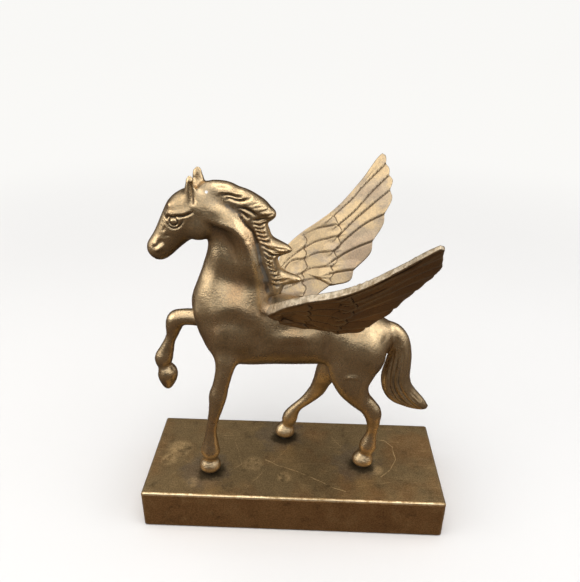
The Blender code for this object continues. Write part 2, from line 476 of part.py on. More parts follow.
# Bow of the wing out of its flat pattern: span, then front, middle and back of the chord
WING_BOW = ((-2, -2.6, -1.4, -1.0), (6, -1.2, 0.4, 1.2), (12, 0.2, 1.7, 3.0), (20, 1.0, 2.9, 3.7),
            (27, 1.3, 2.8, 2.6), (36, 1.4, 1.8, 0.6), (45, 1.0, 0.6, -1.6), (55, 0.4, -0.9, -3.4),
            (72, -0.7, -2.4, -4.2))
BOW_FRONT, BOW_BACK = -4.0, 18.0


def wing_bow(span, chord):
    """How far each point of the wing stands out of the flat pattern."""
    table = spline(WING_BOW, 6)
    front, middle, back = (np.interp(span, table[:, 0], table[:, row]) for row in (1, 2, 3))
    across = np.clip((chord - BOW_FRONT) / (BOW_BACK - BOW_FRONT), 0, 1.1)
    return (front * (1 - across) * (1 - 2 * across) + 4 * middle * across * (1 - across)
            + back * across * (2 * across - 1))


def row_ends(corners):
    """The line along a row's rounded feather ends, which bulge towards the wing's tip."""
    line = []
    for start, end in zip(np.array(corners[:-1]), np.array(corners[1:])):
        run = end - start
        bulge = (start + end) / 2 + np.array((run[1], -run[0])) * 0.3
        line.append(spline((start, bulge, end), 5)[:-1])
    return np.vstack(line)


def line_distance(pattern, path):
    """Distance of each point of the pattern to a path, and which side of it the point is on."""
    nearest, hand = np.full(len(pattern), np.inf), np.zeros(len(pattern))
    for start, end in zip(path[:-1], path[1:]):
        run = end - start
        along = np.clip((pattern - start) @ run / (run @ run), 0, 1)
        away = pattern - start - along[:, None] * run
        distance = np.hypot(away[:, 0], away[:, 1])
        closer = distance < nearest
        nearest[closer] = distance[closer]
        hand[closer] = (run[0] * away[:, 1] - run[1] * away[:, 0])[closer]
    return nearest, np.sign(hand)


def feather_relief(pattern, paths, groove, width, step):
    """Height over the flat: a groove on each path and a step along one side of it."""
    height = np.zeros(len(pattern))
    for path in paths:
        distance, hand = line_distance(pattern, path)
        height -= groove * np.exp(-(distance / width) ** 2)
        raised = (hand > 0) & (distance < 3.0)
        height[raised] += step * (1 - distance[raised] / 3.0)
    return height


def flat_wing(mesh):
    outline = [tuple(point) for point in spline(WING_FRONT, 5)[:-1]]
    for lobe in FEATHER_TIPS:
        outline += [tuple(point) for point in spline(lobe, 7)[:-1]]
    outline += [tuple(point) for point in spline(WING_BACK, 4)]
    face = mesh.faces.new([mesh.verts.new((x, y, -WING_THICKNESS / 2)) for x, y in outline])
    raised = bmesh.ops.extrude_face_region(mesh, geom=[face])
    moved = [item for item in raised["geom"] if isinstance(item, bmesh.types.BMVert)]
    bmesh.ops.translate(mesh, vec=(0, 0, WING_THICKNESS), verts=moved)
    thick = WING_ROOT_THICKNESS / 2
    loft(mesh, [
        (1.0, 0.6, 0.3, thick * 0.85, 2.2), (3.0, -0.2, 0.4, thick, 2.8),
        (6.0, -1.6, 0.4, thick * 0.9, 2.2), (11.0, -3.2, 0.3, thick * 0.8, 1.6),
        (18.0, -4.4, 0.2, 1.3, 1.3), (25.0, -3.2, 0.2, 1.25, 1.25), (32.0, -1.1, 0.2, 1.2, 1.2),
        (44.0, 1.5, 0.1, 1.1, 1.1), (56.0, 2.3, 0.1, 1.0, 1.0), (65.4, 1.9, 0, 0.85, 0.85),
        (69.0, 2.2, 0, 0.6, 0.6)], sides=20)
    loft(mesh, [
        (1.6, 2.8, 0.4, thick, 2.6), (4.0, 5.6, 0.4, thick * 0.9, 2.8), (7.5, 9.0, 0.3, 1.3, 2.6),
        (11.5, 11.5, 0, 0.8, 1.6)], sides=20)


def build_wing(name, side, collection, voxel, triangles):
    """One wing: fused flat, grooved, bowed and swung out to its side (near is -1)."""
    mesh = bmesh.new()
    flat_wing(mesh)
    data = fused(mesh, name, voxel, 1)
    points, normals = read_rows(data.vertices, "co"), read_rows(data.vertices, "normal")
    pattern = points[:, :2]
    groove, width, step = FEATHER_GROOVE, FEATHER_GROOVE_WIDTH, FEATHER_STEP
    relief = feather_relief(pattern, [spline(line, 4) for line in FEATHER_LINES], groove, width, step)
    relief += feather_relief(pattern, [spline(line, 4) for line in COVERT_LINES],
                             groove * 0.8, width, step * 0.6)
    relief += feather_relief(pattern, [row_ends(row) for row in COVERT_ROWS],
                             groove * 0.65, width, step)
    points[:, 2] += relief * np.clip(normals[:, 2] * 1.5, -1, 1)
    span_axis = np.array(WING_SPAN_AXIS) / np.linalg.norm(WING_SPAN_AXIS)
    chord_axis = np.array(WING_CHORD_AXIS) / np.linalg.norm(WING_CHORD_AXIS)
    outward = np.cross(chord_axis, span_axis)
    bow = wing_bow(points[:, 0], points[:, 1])
    placed = (np.array(WING_ROOT) + np.outer(points[:, 0], span_axis)
              + np.outer(points[:, 1], chord_axis) + np.outer(bow + points[:, 2], outward))
    placed[:, 1] *= -side
    set_vertices(data, placed)
    if side < 0:
        data.flip_normals()
    return thing_from(data, name, collection, triangles)


def fused(mesh, name, voxel, smoothing):
    """Fuse the overlapping forms of a bmesh into one skin and soften it, in millimetres."""
    data = bpy.data.meshes.new(name)
    mesh.to_mesh(data)
    mesh.free()
    forms = bpy.data.objects.new(name, data)
    bpy.context.scene.collection.objects.link(forms)
    fuse = forms.modifiers.new("fuse", "REMESH")
    fuse.mode = "VOXEL"
    fuse.voxel_size = voxel
    soften = forms.modifiers.new("soften", "SMOOTH")
    soften.iterations = smoothing
    graph = bpy.context.evaluated_depsgraph_get()
    skin = bpy.data.meshes.new_from_object(forms.evaluated_get(graph))
    bpy.data.objects.remove(forms, do_unlink=True)
    skin.materials.clear()
    return skin


def thinning(points):
    """How freely each vertex may be thinned out: those of the mane and the face stay longest."""
    x, y, z = points.T
    freedom = np.ones(len(points))
    freedom[mane_region(points)] = 0.5
    freedom[(z > 84) & (x < -34.5)] = 0.7
    return freedom


def thing_from(data, name, collection, triangles, freedom=None):
    """Scale a skin to metres, link it as an object and bring it to a number of triangles."""
    data.transform(Matrix.Scale(MM, 4))
    data.name = name
    data.shade_smooth()
    thing = bpy.data.objects.new(name, data)
    collection.objects.link(thing)
    if freedom is not None:
        group = thing.vertex_groups.new(name=FREEDOM)
        for weight in np.unique(freedom):
            group.add(np.flatnonzero(freedom == weight).tolist(), weight, "REPLACE")
    reduce_to(thing, triangles)
    return thing


def reduce_to(thing, triangles):
    thing.data.calc_loop_triangles()
    reduce = thing.modifiers.new("reduce", "DECIMATE")
    reduce.ratio = min(1.0, triangles / len(thing.data.loop_triangles))
    reduce.use_collapse_triangulate = True
    if FREEDOM in thing.vertex_groups:
        reduce.vertex_group = FREEDOM
        reduce.vertex_group_factor = FREEDOM_FACTOR


def cut(thing, cutter, name, solver="EXACT"):
    hole = thing.modifiers.new(name, "BOOLEAN")
    hole.operation = "DIFFERENCE"
    hole.object = cutter
    hole.solver = solver


def mark_cutter(thing):
    thing.hide_render = True
    thing.display_type = "WIRE"


def turned(name, profile, collection, parent, place):
    """Solid of revolution about Z through place. The profile is (radius, height) in metres."""
    data = bpy.data.meshes.new(name)
    data.from_pydata([(radius, 0, height) for radius, height in profile],
                     [(index, index + 1) for index in range(len(profile) - 1)], [])
    thing = bpy.data.objects.new(name, data)
    collection.objects.link(thing)
    thing.parent = parent
    thing.location = place
    turn = thing.modifiers.new("turn", "SCREW")
    turn.steps = turn.render_steps = ROUND_STEPS
    turn.use_merge_vertices = True
    turn.merge_threshold = 0.0001 * MM
    turn.use_smooth_shade = True
    return thing


def build_plinth(parts, material):
    bpy.ops.mesh.primitive_cube_add(size=1, location=(0, 0, PLINTH_HEIGHT / 2))
    plinth = bpy.context.object
    plinth.name = plinth.data.name = "plinth"
    for collection in list(plinth.users_collection):
        collection.objects.unlink(plinth)
    parts.objects.link(plinth)
    plinth.data.transform(Matrix.Diagonal((PLINTH_LENGTH, PLINTH_WIDTH, PLINTH_HEIGHT, 1)))
    edge = plinth.modifiers.new("edge", "BEVEL")
    edge.width = PLINTH_EDGE
    edge.segments = 2
    plinth.data.materials.append(material)
    return plinth


def build_screws(parts, cutters, figure, plinth, horse, material):
    """A slotted countersunk screw from under the plinth into each standing hoof."""
    feet = {"near_fore": NEAR_FORE_FOOT, "near_hind": NEAR_HIND_FOOT, "far_hind": FAR_HIND_FOOT}
    bottom = -PLINTH_HEIGHT + SCREW_RECESS
    neck = bottom + SCREW_HEAD_DEPTH
    top = HOOF_GAP * MM + SCREW_GRIP
    below = -PLINTH_HEIGHT - CUTTER_OVERRUN
    gap = CLEARANCE
    for label, (x, y) in feet.items():
        place = (x * MM, y * MM, 0)
        screw = turned(label + "_hoof_screw", [
            (0, top), (SCREW_RADIUS * 0.8, top), (SCREW_RADIUS, top - SCREW_RADIUS * 0.4),
            (SCREW_RADIUS, neck), (SCREW_HEAD_RADIUS, bottom + SCREW_HEAD_RIM),
            (SCREW_HEAD_RADIUS, bottom), (0, bottom)], parts, figure, place)
        screw.data.materials.append(material)
        hole = turned(label + "_hole", [
            (0, top + gap), (SCREW_RADIUS + gap, top + gap), (SCREW_RADIUS + gap, neck + gap),
            (SCREW_HEAD_RADIUS + gap, bottom + SCREW_HEAD_RIM + gap),
            (SCREW_HEAD_RADIUS + gap, below), (0, below)],
            cutters, figure, place)
        mark_cutter(hole)
        cut(plinth, hole, label + "_hole")
        cut(horse, hole, label + "_hole")
        bpy.ops.mesh.primitive_cube_add(size=1, location=(0, 0, 0))
        slot = bpy.context.object
        slot.name = label + "_slot"
        for collection in list(slot.users_collection):
            collection.objects.unlink(slot)
        cutters.objects.link(slot)
        slot.data.transform(Matrix.Diagonal((
            SCREW_HEAD_RADIUS * 3, SCREW_SLOT_WIDTH, SCREW_SLOT_DEPTH * 2, 1)))
        slot.parent = figure
        slot.location = (x * MM, y * MM, bottom)
        slot.rotation_euler = (0, 0, atan2(y, x))
        mark_cutter(slot)
        cut(screw, slot, "slot")


def build_horse(parts, figure, material):
    mesh = bmesh.new()
    body_forms(mesh)
    neck_and_head(mesh)
    mane(mesh)
    legs(mesh)
    loft(mesh, TAIL)
    data = fused(mesh, "horse", HORSE_VOXEL, 1)
    blend_forms(data)
    refine(data, fine_regions)
    carve_horse(data, RELIEF)
    freedom = thinning(read_rows(data.vertices, "co"))
    horse = thing_from(data, "horse", parts, HORSE_TRIANGLES, freedom)
    horse.parent = figure
    horse.data.materials.append(material)
    return horse


def build_wings(parts, cutters, figure, horse, material):
    """Both wings, each trimmed at its root to the horse's side."""
    seat = bpy.data.objects.new("wing_seat", horse.data.copy())
    cutters.objects.link(seat)
    seat.parent = figure
    reduce_to(seat, HORSE_TRIANGLES)
    swell = seat.modifiers.new("clearance", "DISPLACE")
    swell.strength = CLEARANCE
    swell.mid_level = 0.0
    mark_cutter(seat)
    for name, side in (("left_wing", -1), ("right_wing", 1)):
        wing = build_wing(name, side, parts, WING_VOXEL, WING_TRIANGLES)
        wing.parent = figure
        wing.data.materials.append(material)
        cut(wing, seat, "seat", "MANIFOLD")


def main():
    clear_scene()
    parts = bpy.data.collections.new("pegasus_figurine")
    cutters = bpy.data.collections.new("cutters")
    bpy.context.scene.collection.children.link(parts)
    bpy.context.scene.collection.children.link(cutters)
    figure = bpy.data.objects.new("figure", None)
    parts.objects.link(figure)
    figure.location = (0, FIGURE_SHIFT, PLINTH_HEIGHT)
    figure.rotation_euler = (0, 0, FIGURE_TURN)
    cast_brass = metal("cast_brass", (0.52, 0.37, 0.17), 0.34)
    plinth_brass = metal("plinth_brass", (0.33, 0.22, 0.11), 0.42)
    steel = metal("screw_steel", (0.55, 0.54, 0.52), 0.3)
    horse = build_horse(parts, figure, cast_brass)
    build_wings(parts, cutters, figure, horse, cast_brass)
    plinth = build_plinth(parts, plinth_brass)
    build_screws(parts, cutters, figure, plinth, horse, steel)


main()
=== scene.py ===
"""Dressing of the pegasus figurine: a cast brass winged horse on a brass plinth.

The horse and its wings are modelled in the figure's own frame, in millimetres: X from the head
(negative) to the tail, Y to the horse's far side, Z up from the top of the plinth. FIGURE sets
a finished skin on the plinth.
"""
from math import cos, pi, radians, sin

import bmesh
import bpy
import numpy as np
from bpy.props import FloatProperty, FloatVectorProperty, IntProperty, PointerProperty
from mathutils import Matrix, Vector


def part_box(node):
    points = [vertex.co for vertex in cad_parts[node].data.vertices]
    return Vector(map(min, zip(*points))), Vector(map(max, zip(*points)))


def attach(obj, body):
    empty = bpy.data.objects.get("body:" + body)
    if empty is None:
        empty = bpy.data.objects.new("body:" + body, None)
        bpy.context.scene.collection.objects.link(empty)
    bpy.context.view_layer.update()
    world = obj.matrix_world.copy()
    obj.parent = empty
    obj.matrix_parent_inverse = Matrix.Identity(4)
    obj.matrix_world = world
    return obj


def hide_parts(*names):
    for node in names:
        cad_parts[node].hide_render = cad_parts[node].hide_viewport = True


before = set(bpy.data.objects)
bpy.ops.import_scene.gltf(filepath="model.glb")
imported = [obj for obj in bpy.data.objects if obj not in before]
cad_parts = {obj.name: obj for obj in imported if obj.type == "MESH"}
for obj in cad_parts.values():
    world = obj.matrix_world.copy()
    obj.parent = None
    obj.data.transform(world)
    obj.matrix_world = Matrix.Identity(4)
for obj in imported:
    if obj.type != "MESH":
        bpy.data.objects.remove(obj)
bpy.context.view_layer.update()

bl_info = {
    "name": "Pegasus Figurine",
    "version": (1, 0, 0),
    "blender": (4, 5, 0),
    "location": "View3D > Sidebar > Figurine",
    "description": "Casts the winged horse, its wings and its plinth around the packed frame",
    "category": "Object",
}

MM = 0.001
PLINTH_LOW, PLINTH_HIGH = (Vector(corner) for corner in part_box("plinth"))
FIGURE = (Matrix.Translation((0, 2.5 * MM, PLINTH_HIGH.z)) @ Matrix.Rotation(radians(2.5), 4, "Z")
          @ Matrix.Scale(MM, 4))


# Curves, lofts and skins

def spline(stations, per_span):
    """Catmull-Rom curve through the stations, all columns together."""
    table = np.array(stations, dtype=float)
    padded = np.vstack([2 * table[0] - table[1], table, 2 * table[-1] - table[-2]])
    rows = []
    for start in range(len(table) - 1):
        a, b, c, d = padded[start:start + 4]
        for step in range(per_span):
            t = step / per_span
            rows.append(0.5 * (2 * b + (c - a) * t + (2 * a - 5 * b + 4 * c - d) * t ** 2
                               + (3 * b - a - 3 * c + d) * t ** 3))
    rows.append(table[-1])
    return np.array(rows)


def loft(mesh, stations, sides=28, per_span=6):
    """Closed loft. Each station is x, y, z, half depth and half width."""
    rows = spline(stations, per_span)
    rows[:, 3:] = np.maximum(rows[:, 3:], 0.15)
    tangents = np.gradient(rows[:, :3], axis=0)
    across = Vector((0, 1, 0))
    rings = []
    for row, tangent in zip(rows, tangents):
        along = Vector(tangent).normalized()
        width = (across - along * along.dot(across)).normalized()
        depth = width.cross(along)
        rings.append([
            mesh.verts.new(Vector(row[:3]) + depth * (row[3] * cos(2 * pi * side / sides))
                           + width * (row[4] * sin(2 * pi * side / sides)))
            for side in range(sides)])
    for lower, upper in zip(rings, rings[1:]):
        for side in range(sides):
            after = (side + 1) % sides
            mesh.faces.new((lower[side], lower[after], upper[after], upper[side]))
    mesh.faces.new(reversed(rings[0]))
    mesh.faces.new(rings[-1])


def ball(mesh, centre, radii, tilt=0.0):
    """A muscle: an ellipsoid turned in the plane of X and Z by tilt degrees."""
    place = Matrix.Translation(centre) @ Matrix.Rotation(radians(tilt), 4, "Y")
    place = place @ Matrix.Diagonal((*radii, 1.0))
    bmesh.ops.create_uvsphere(mesh, u_segments=32, v_segments=20, radius=1.0, matrix=place)


def plain_mesh(thing):
    """The evaluated mesh of an object, which is then removed."""
    graph = bpy.context.evaluated_depsgraph_get()
    data = bpy.data.meshes.new_from_object(thing.evaluated_get(graph))
    bpy.data.objects.remove(thing, do_unlink=True)
    return data


def fused(mesh, name, voxel, smoothing):
    """Fuse the overlapping forms of a bmesh into one skin and soften it, in millimetres."""
    data = bpy.data.meshes.new(name)
    mesh.to_mesh(data)
    mesh.free()
    forms = bpy.data.objects.new(name + "_forms", data)
    bpy.context.scene.collection.objects.link(forms)
    fuse = forms.modifiers.new("fuse", "REMESH")
    fuse.mode = "VOXEL"
    fuse.voxel_size = voxel
    soften = forms.modifiers.new("soften", "SMOOTH")
    soften.iterations = smoothing
    skin = plain_mesh(forms)
    skin.materials.clear()
    return skin


def read_rows(items, name, columns=3):
    rows = np.empty(len(items) * columns)
    items.foreach_get(name, rows)
    return rows.reshape(-1, columns)


def set_vertices(data, points):
    data.vertices.foreach_set("co", points.ravel())
    data.update()


def relaxed(points, edges, weight, rounds):
    """Points moved towards the middle of their neighbours, by weight, round after round."""
    count = np.bincount(edges.ravel(), minlength=len(points)).clip(1)[:, None]
    ends = np.concatenate([edges, edges[:, ::-1]])
    for _ in range(rounds):
        middle = np.stack([np.bincount(ends[:, 0], points[ends[:, 1], axis], len(points))
                           for axis in range(3)], axis=1) / count
        points = points + (middle - points) * weight
    return points


def refine(data, chosen):
    """Split the faces whose centres are chosen, once, and round the new ones off."""
    mesh = bmesh.new()
    mesh.from_mesh(data)
    centres = np.array([face.calc_center_median() for face in mesh.faces])
    inside = chosen(centres)
    numbers = {edge.index for face, wanted in zip(mesh.faces, inside) if wanted
               for edge in face.edges}
    mesh.edges.ensure_lookup_table()
    edges = [mesh.edges[number] for number in sorted(numbers)]
    bmesh.ops.subdivide_edges(mesh, edges=edges, cuts=1, use_grid_fill=True)
    bmesh.ops.triangulate(mesh, faces=[face for face in mesh.faces if len(face.verts) > 4])
    mesh.to_mesh(data)
    mesh.free()
    data.update()
    points = read_rows(data.vertices, "co")
    links = np.empty(len(data.edges) * 2, dtype=np.int32)
    data.edges.foreach_get("vertices", links)
    set_vertices(data, relaxed(points, links.reshape(-1, 2), chosen(points)[:, None] * 0.5, 2))


def along_path(points, path):
    """Distance of each point to a path, and how far along it is, from 0 to 1."""
    nearest = np.full(len(points), np.inf)
    share = np.zeros(len(points))
    for number, (start, end) in enumerate(zip(path[:-1], path[1:])):
        run = end - start
        place = np.clip((points - start) @ run / max(run @ run, 1e-9), 0, 1)
        away = np.linalg.norm(points - start - place[:, None] * run, axis=1)
        closer = away < nearest
        nearest[closer] = away[closer]
        share[closer] = (number + place[closer]) / (len(path) - 1)
    return nearest, share


def chisel(points, normals, lines, width, depth, mirror=True, ends=0.5):
    """Cut grooves of a width and depth along lines on the skin; a negative depth raises them.

    A larger value of ends lets a line fade out over more of its length.
    """
    shift = np.zeros(len(points))
    flat = np.array((1.0, 0.5, 1.0))
    for line in lines:
        for side in ((1, -1) if mirror else (1,)):
            path = spline(line, 3) * (1, side, 1)
            reach = 2.6 * width
            box = ((points > path.min(axis=0) - (reach, reach + 1.2, reach))
                   & (points < path.max(axis=0) + (reach, reach + 1.2, reach)))
            near = np.flatnonzero(box.all(axis=1))
            distance, share = along_path(points[near] * flat, path * flat)
            taper = np.clip(np.sin(np.pi * share), 0, 1) ** ends
            cut = taper * np.exp(-(distance / width) ** 2)
            shift[near] = np.maximum(shift[near], cut)
    return points - normals * (shift * depth)[:, None]


def hollows(data, rounds):
    """How far each vertex lies under the smoothed skin: positive in hollows."""
    points = read_rows(data.vertices, "co")
    links = np.empty(len(data.edges) * 2, dtype=np.int32)
    data.edges.foreach_get("vertices", links)
    smooth = relaxed(points, links.reshape(-1, 2), 0.7, rounds)
    return np.einsum("ij,ij->i", smooth - points, read_rows(data.vertices, "normal"))


def mark(data, name, values):
    """Keep a number for each vertex, for the material to read."""
    data.attributes.new(name, "FLOAT", "POINT").data.foreach_set("value", values.astype(np.float32))


def finish_skin(data, name, place, material):
    """Mark the hollows of a skin in millimetres, place it and link it as a piece."""
    mark(data, "hollow", hollows(data, 3) / 0.06)
    mark(data, "valley", hollows(data, 30) / 0.5)
    # under: how far each face turns downwards, read by the brass as painted shade
    mark(data, "under", np.clip(-read_rows(data.vertices, "normal")[:, 2] * 1.8 - 0.1, 0, 1))
    data.transform(place)
    data.name = name
    data.shade_smooth()
    data.materials.append(material)
    piece = bpy.data.objects.new(name, data)
    bpy.context.scene.collection.objects.link(piece)
    return piece


# The horse's forms

NEAR_FORE_FOOT = (-31.9, -9.7)
NEAR_HIND_FOOT = (25.6, -6.4)
FAR_HIND_FOOT = (-4.0, 9.8)
HOOF_RADIUS = 4.1
HOOF_GAP = 1.2

def body_forms(mesh):
    loft(mesh, [
        (-34.6, 0, 65.8, 3.2, 3.0), (-33.0, 0, 65.0, 4.6, 4.6), (-30.9, 0, 63.4, 6.2, 6.4),
        (-27.8, 0, 60.6, 9.0, 8.4), (-23.0, 0, 57.6, 13.4, 9.9), (-17.0, 0, 56.6, 13.7, 10.2),
        (-9.0, 0, 56.3, 13.3, 9.6), (0.0, 0, 55.2, 12.1, 9.7), (10.0, 0, 54.2, 11.0, 8.9),
        (18.0, 0, 54.0, 11.0, 9.6), (25.0, 0, 53.0, 10.3, 9.0), (30.0, 0, 52.3, 8.2, 7.0),
        (33.0, 0, 51.5, 4.5, 4.0)])
    for side in (-1, 1):
        ball(mesh, (-24.5, side * 5.6, 57.5), (6.0, 5.5, 10.0), 14)
        ball(mesh, (22.0, side * 5.4, 50.5), (9.2, 5.8, 11.0), -18)
        ball(mesh, (-32.2, side * 3.4, 64.5), (3.4, 3.4, 5.2), -8)
        ball(mesh, (-4.0, side * 4.2, 64.0), (10.0, 4.4, 3.6), 4)
        ball(mesh, (-15.5, side * 4.6, 64.5), (7.5, 4.8, 7.0), 0)


def neck_and_head(mesh):
    loft(mesh, [
        (-20.5, 0, 58.0, 9.0, 7.5), (-21.6, 0, 62.5, 11.8, 8.6), (-22.6, 0, 67.0, 13.7, 9.0),
        (-22.2, 0, 73.5, 12.2, 8.0), (-21.9, 0, 80.0, 10.2, 6.6), (-21.6, 0, 85.5, 8.6, 5.5),
        (-21.9, 0, 91.0, 7.7, 4.9), (-23.8, 0, 97.0, 7.2, 4.7), (-26.7, 0, 102.3, 6.5, 4.5),
        (-29.5, 0, 105.3, 4.8, 3.6)])
    loft(mesh, [
        (-29.5, 0, 101.8, 6.4, 4.6), (-32.3, 0, 100.5, 7.6, 5.4), (-35.2, 0, 98.6, 7.8, 5.5),
        (-37.8, 0, 95.8, 6.9, 5.0), (-40.4, 0, 92.7, 5.8, 4.3), (-42.9, 0, 89.7, 4.9, 3.7),
        (-45.0, 0, 87.3, 4.5, 3.7), (-46.6, 0, 85.5, 3.7, 3.3), (-47.6, 0, 84.4, 2.2, 2.2)])
    for side in (-1, 1):
        ball(mesh, (-31.4, side * 3.0, 95.8), (4.8, 2.9, 5.4), 25)
        ball(mesh, (-38.3, side * 3.2, 101.6), (3.4, 1.7, 1.9), 30)
        ball(mesh, (-44.6, side * 2.4, 88.6), (2.6, 1.9, 2.2), 40)
        loft(mesh, [
            (-31.0, side * 2.6, 103.0, 2.8, 2.2), (-27.0, side * 3.2, 100.8, 3.4, 2.6),
            (-22.5, side * 3.6, 97.6, 3.6, 2.8), (-18.8, side * 3.9, 92.0, 3.6, 2.9),
            (-16.6, side * 4.4, 85.0, 3.8, 3.0), (-15.4, side * 4.9, 77.0, 4.4, 3.4),
            (-14.8, side * 4.8, 69.0, 4.6, 3.4), (-14.6, side * 3.4, 61.0, 4.0, 3.2)])
        ball(mesh, (-29.6, side * 2.2, 104.0), (3.8, 2.4, 2.7), 20)
    ear(mesh, (-33.4, -3.3, 101.5), 11.0, 1.75)
    ear(mesh, (-31.8, 3.0, 102.5), 11.1, 2.0)


def ear(mesh, foot, length, half):
    x, y, z = foot
    loft(mesh, [
        (x + 0.3, y, z, half * 0.85, 1.35), (x, y, z + length * 0.28, half * 1.1, 1.5),
        (x - 0.1, y, z + length * 0.55, half * 1.12, 1.4),
        (x, y, z + length * 0.8, half * 1.0, 1.2), (x + 0.1, y, z + length * 0.94, half * 0.7, 0.9),
        (x + 0.15, y, z + length, half * 0.3, 0.5)])


MANE_CREST = [
    (-31.0, 0, 107.4, 1.6, 2.0), (-27.0, 0, 107.0, 2.8, 3.4), (-22.0, 0, 105.2, 3.8, 4.2),
    (-17.4, 0, 101.2, 3.6, 4.3), (-13.8, 0, 95.2, 3.7, 4.4), (-11.8, 0, 90.0, 3.5, 4.5),
    (-10.2, 0, 84.0, 3.3, 4.9), (-8.8, 0, 78.0, 3.4, 5.3), (-8.0, 0, 71.0, 3.4, 5.4)]
MANE_LOCKS = (
    ((-25.0, 105.6, 2.8), (-18.5, 103.9, 3.6), (-13.4, 100.8, 3.8), (-10.2, 99.1, 3.0),
     (-8.1, 98.9, 1.9), (-6.9, 99.0, 0.7)),
    ((-14.0, 92.0, 3.2), (-10.2, 88.2, 3.5), (-7.2, 87.2, 3.0), (-4.6, 86.9, 2.1),
     (-2.8, 86.6, 1.3), (-1.7, 86.4, 0.5)),
    ((-12.4, 82.4, 3.6), (-8.4, 78.4, 3.3), (-4.6, 76.5, 2.5), (-1.2, 76.0, 1.7),
     (0.7, 75.8, 1.1), (1.8, 75.6, 0.5)))


def mane(mesh):
    loft(mesh, MANE_CREST)
    for lock in MANE_LOCKS:
        loft(mesh, [(x, 0, z, half, half * 1.15) for x, z, half in lock])


def hoof(mesh, foot, toe):
    """A round hoof on the plinth's gap; toe is how far its top leans back over the sole."""
    x, y = foot
    loft(mesh, [
        (x + toe * share, y, z, HOOF_RADIUS * size, HOOF_RADIUS * size * 0.94)
        for z, size, share in ((6.4, 0.56, 1), (5.4, 0.78, 0.8), (3.9, 0.96, 0.5), (2.4, 1, 0.15),
                               (HOOF_GAP, 0.88, 0))])


def legs(mesh):
    x, y = NEAR_FORE_FOOT
    loft(mesh, [
        (-23.3, -6.4, 57.0, 6.0, 4.0), (-23.9, -7.6, 51.0, 4.9, 3.8), (-25.1, -8.7, 44.5, 3.4, 3.2),
        (-26.4, -9.3, 39.0, 2.95, 2.8), (-27.6, -9.5, 34.5, 3.3, 3.0), (-28.4, -9.6, 30.0, 2.7, 2.6),
        (-29.7, -9.7, 24.5, 2.15, 2.05), (-30.7, -9.7, 19.0, 2.1, 2.0), (-31.1, -9.7, 14.0, 2.85, 2.6),
        (-31.4, -9.7, 10.2, 3.6, 3.2), (-31.5, -9.7, 8.2, 3.4, 3.0), (x + 0.3, y, 6.6, 2.5, 2.3),
        (x + 0.2, y, 5.0, 2.4, 2.2)])
    hoof(mesh, NEAR_FORE_FOOT, 0.2)
    x, y = NEAR_HIND_FOOT
    loft(mesh, [
        (20.6, -5.4, 50.0, 10.2, 4.8), (19.8, -5.9, 42.8, 8.8, 5.0), (20.4, -6.2, 36.6, 6.2, 4.6),
        (22.9, -6.3, 31.6, 4.2, 3.5), (26.2, -6.4, 28.0, 3.5, 2.8), (28.2, -6.4, 24.8, 3.45, 2.7),
        (28.8, -6.4, 20.0, 2.5, 2.2), (28.6, -6.4, 16.0, 2.05, 1.95), (28.0, -6.4, 12.9, 2.6, 2.4),
        (27.5, -6.4, 9.9, 3.3, 3.0), (27.3, -6.4, 7.8, 3.2, 2.8), (x + 1.4, y, 6.4, 2.5, 2.2),
        (x + 0.8, y, 4.6, 2.4, 2.2)])
    hoof(mesh, NEAR_HIND_FOOT, 1.3)
    x, y = FAR_HIND_FOOT
    loft(mesh, [
        (19.5, 5.4, 49.0, 9.2, 4.8), (16.4, 6.6, 41.5, 7.2, 5.0), (12.4, 7.4, 34.0, 4.8, 4.2),
        (10.2, 8.0, 28.6, 3.5, 3.1), (8.6, 8.4, 24.4, 3.2, 2.7), (5.0, 8.8, 19.6, 2.35, 2.2),
        (1.6, 9.2, 16.0, 2.0, 1.95), (-0.5, 9.6, 12.9, 2.5, 2.3), (-1.6, 9.8, 10.2, 3.1, 2.8),
        (-2.2, 9.8, 8.1, 3.0, 2.7), (x + 1.3, y, 6.5, 2.4, 2.2), (x + 0.7, y, 4.6, 2.4, 2.2)])
    hoof(mesh, FAR_HIND_FOOT, 1.0)
    loft(mesh, [
        (-28.5, 5.8, 56.5, 5.2, 4.2), (-33.0, 6.6, 57.2, 4.0, 3.8), (-37.0, 7.0, 57.2, 3.3, 3.2),
        (-40.5, 7.0, 57.2, 3.1, 3.0), (-43.3, 7.0, 56.4, 3.4, 3.1), (-44.5, 7.0, 53.4, 3.1, 2.8),
        (-45.3, 7.0, 50.0, 2.3, 2.2), (-46.4, 7.0, 47.4, 2.1, 2.1), (-47.9, 7.0, 43.3, 2.8, 2.5),
        (-49.2, 7.0, 40.0, 3.45, 3.0), (-49.7, 7.0, 37.9, 3.1, 2.7), (-49.9, 7.0, 36.2, 2.2, 2.1)])
    loft(mesh, [
        (-49.8, 7.0, 36.8, 2.0, 2.0), (-49.1, 7.0, 35.2, 3.1, 3.0), (-48.4, 7.0, 33.4, 3.85, 3.6),
        (-48.5, 7.0, 31.0, 3.65, 3.4), (-48.7, 7.0, 28.2, 2.6, 2.4), (-48.8, 7.0, 26.2, 1.4, 1.3),
        (-48.9, 7.0, 25.6, 0.5, 0.5)])


TAIL = [
    (29.5, 0, 57.0, 2.6, 2.4), (33.3, 0, 56.2, 3.3, 3.0), (36.2, 0, 52.5, 3.8, 3.6),
    (37.2, 0, 47.0, 4.3, 4.2), (36.9, 0, 41.5, 4.9, 4.6), (36.6, 0, 36.0, 5.4, 4.8),
    (38.3, 0, 31.0, 5.4, 4.4), (42.4, 0, 27.3, 4.2, 3.4), (46.6, 0, 24.5, 2.8, 2.3),
    (49.2, 0, 22.8, 1.5, 1.2), (50.0, 0, 22.2, 0.6, 0.5)]

BLEND_ROUNDS = 36

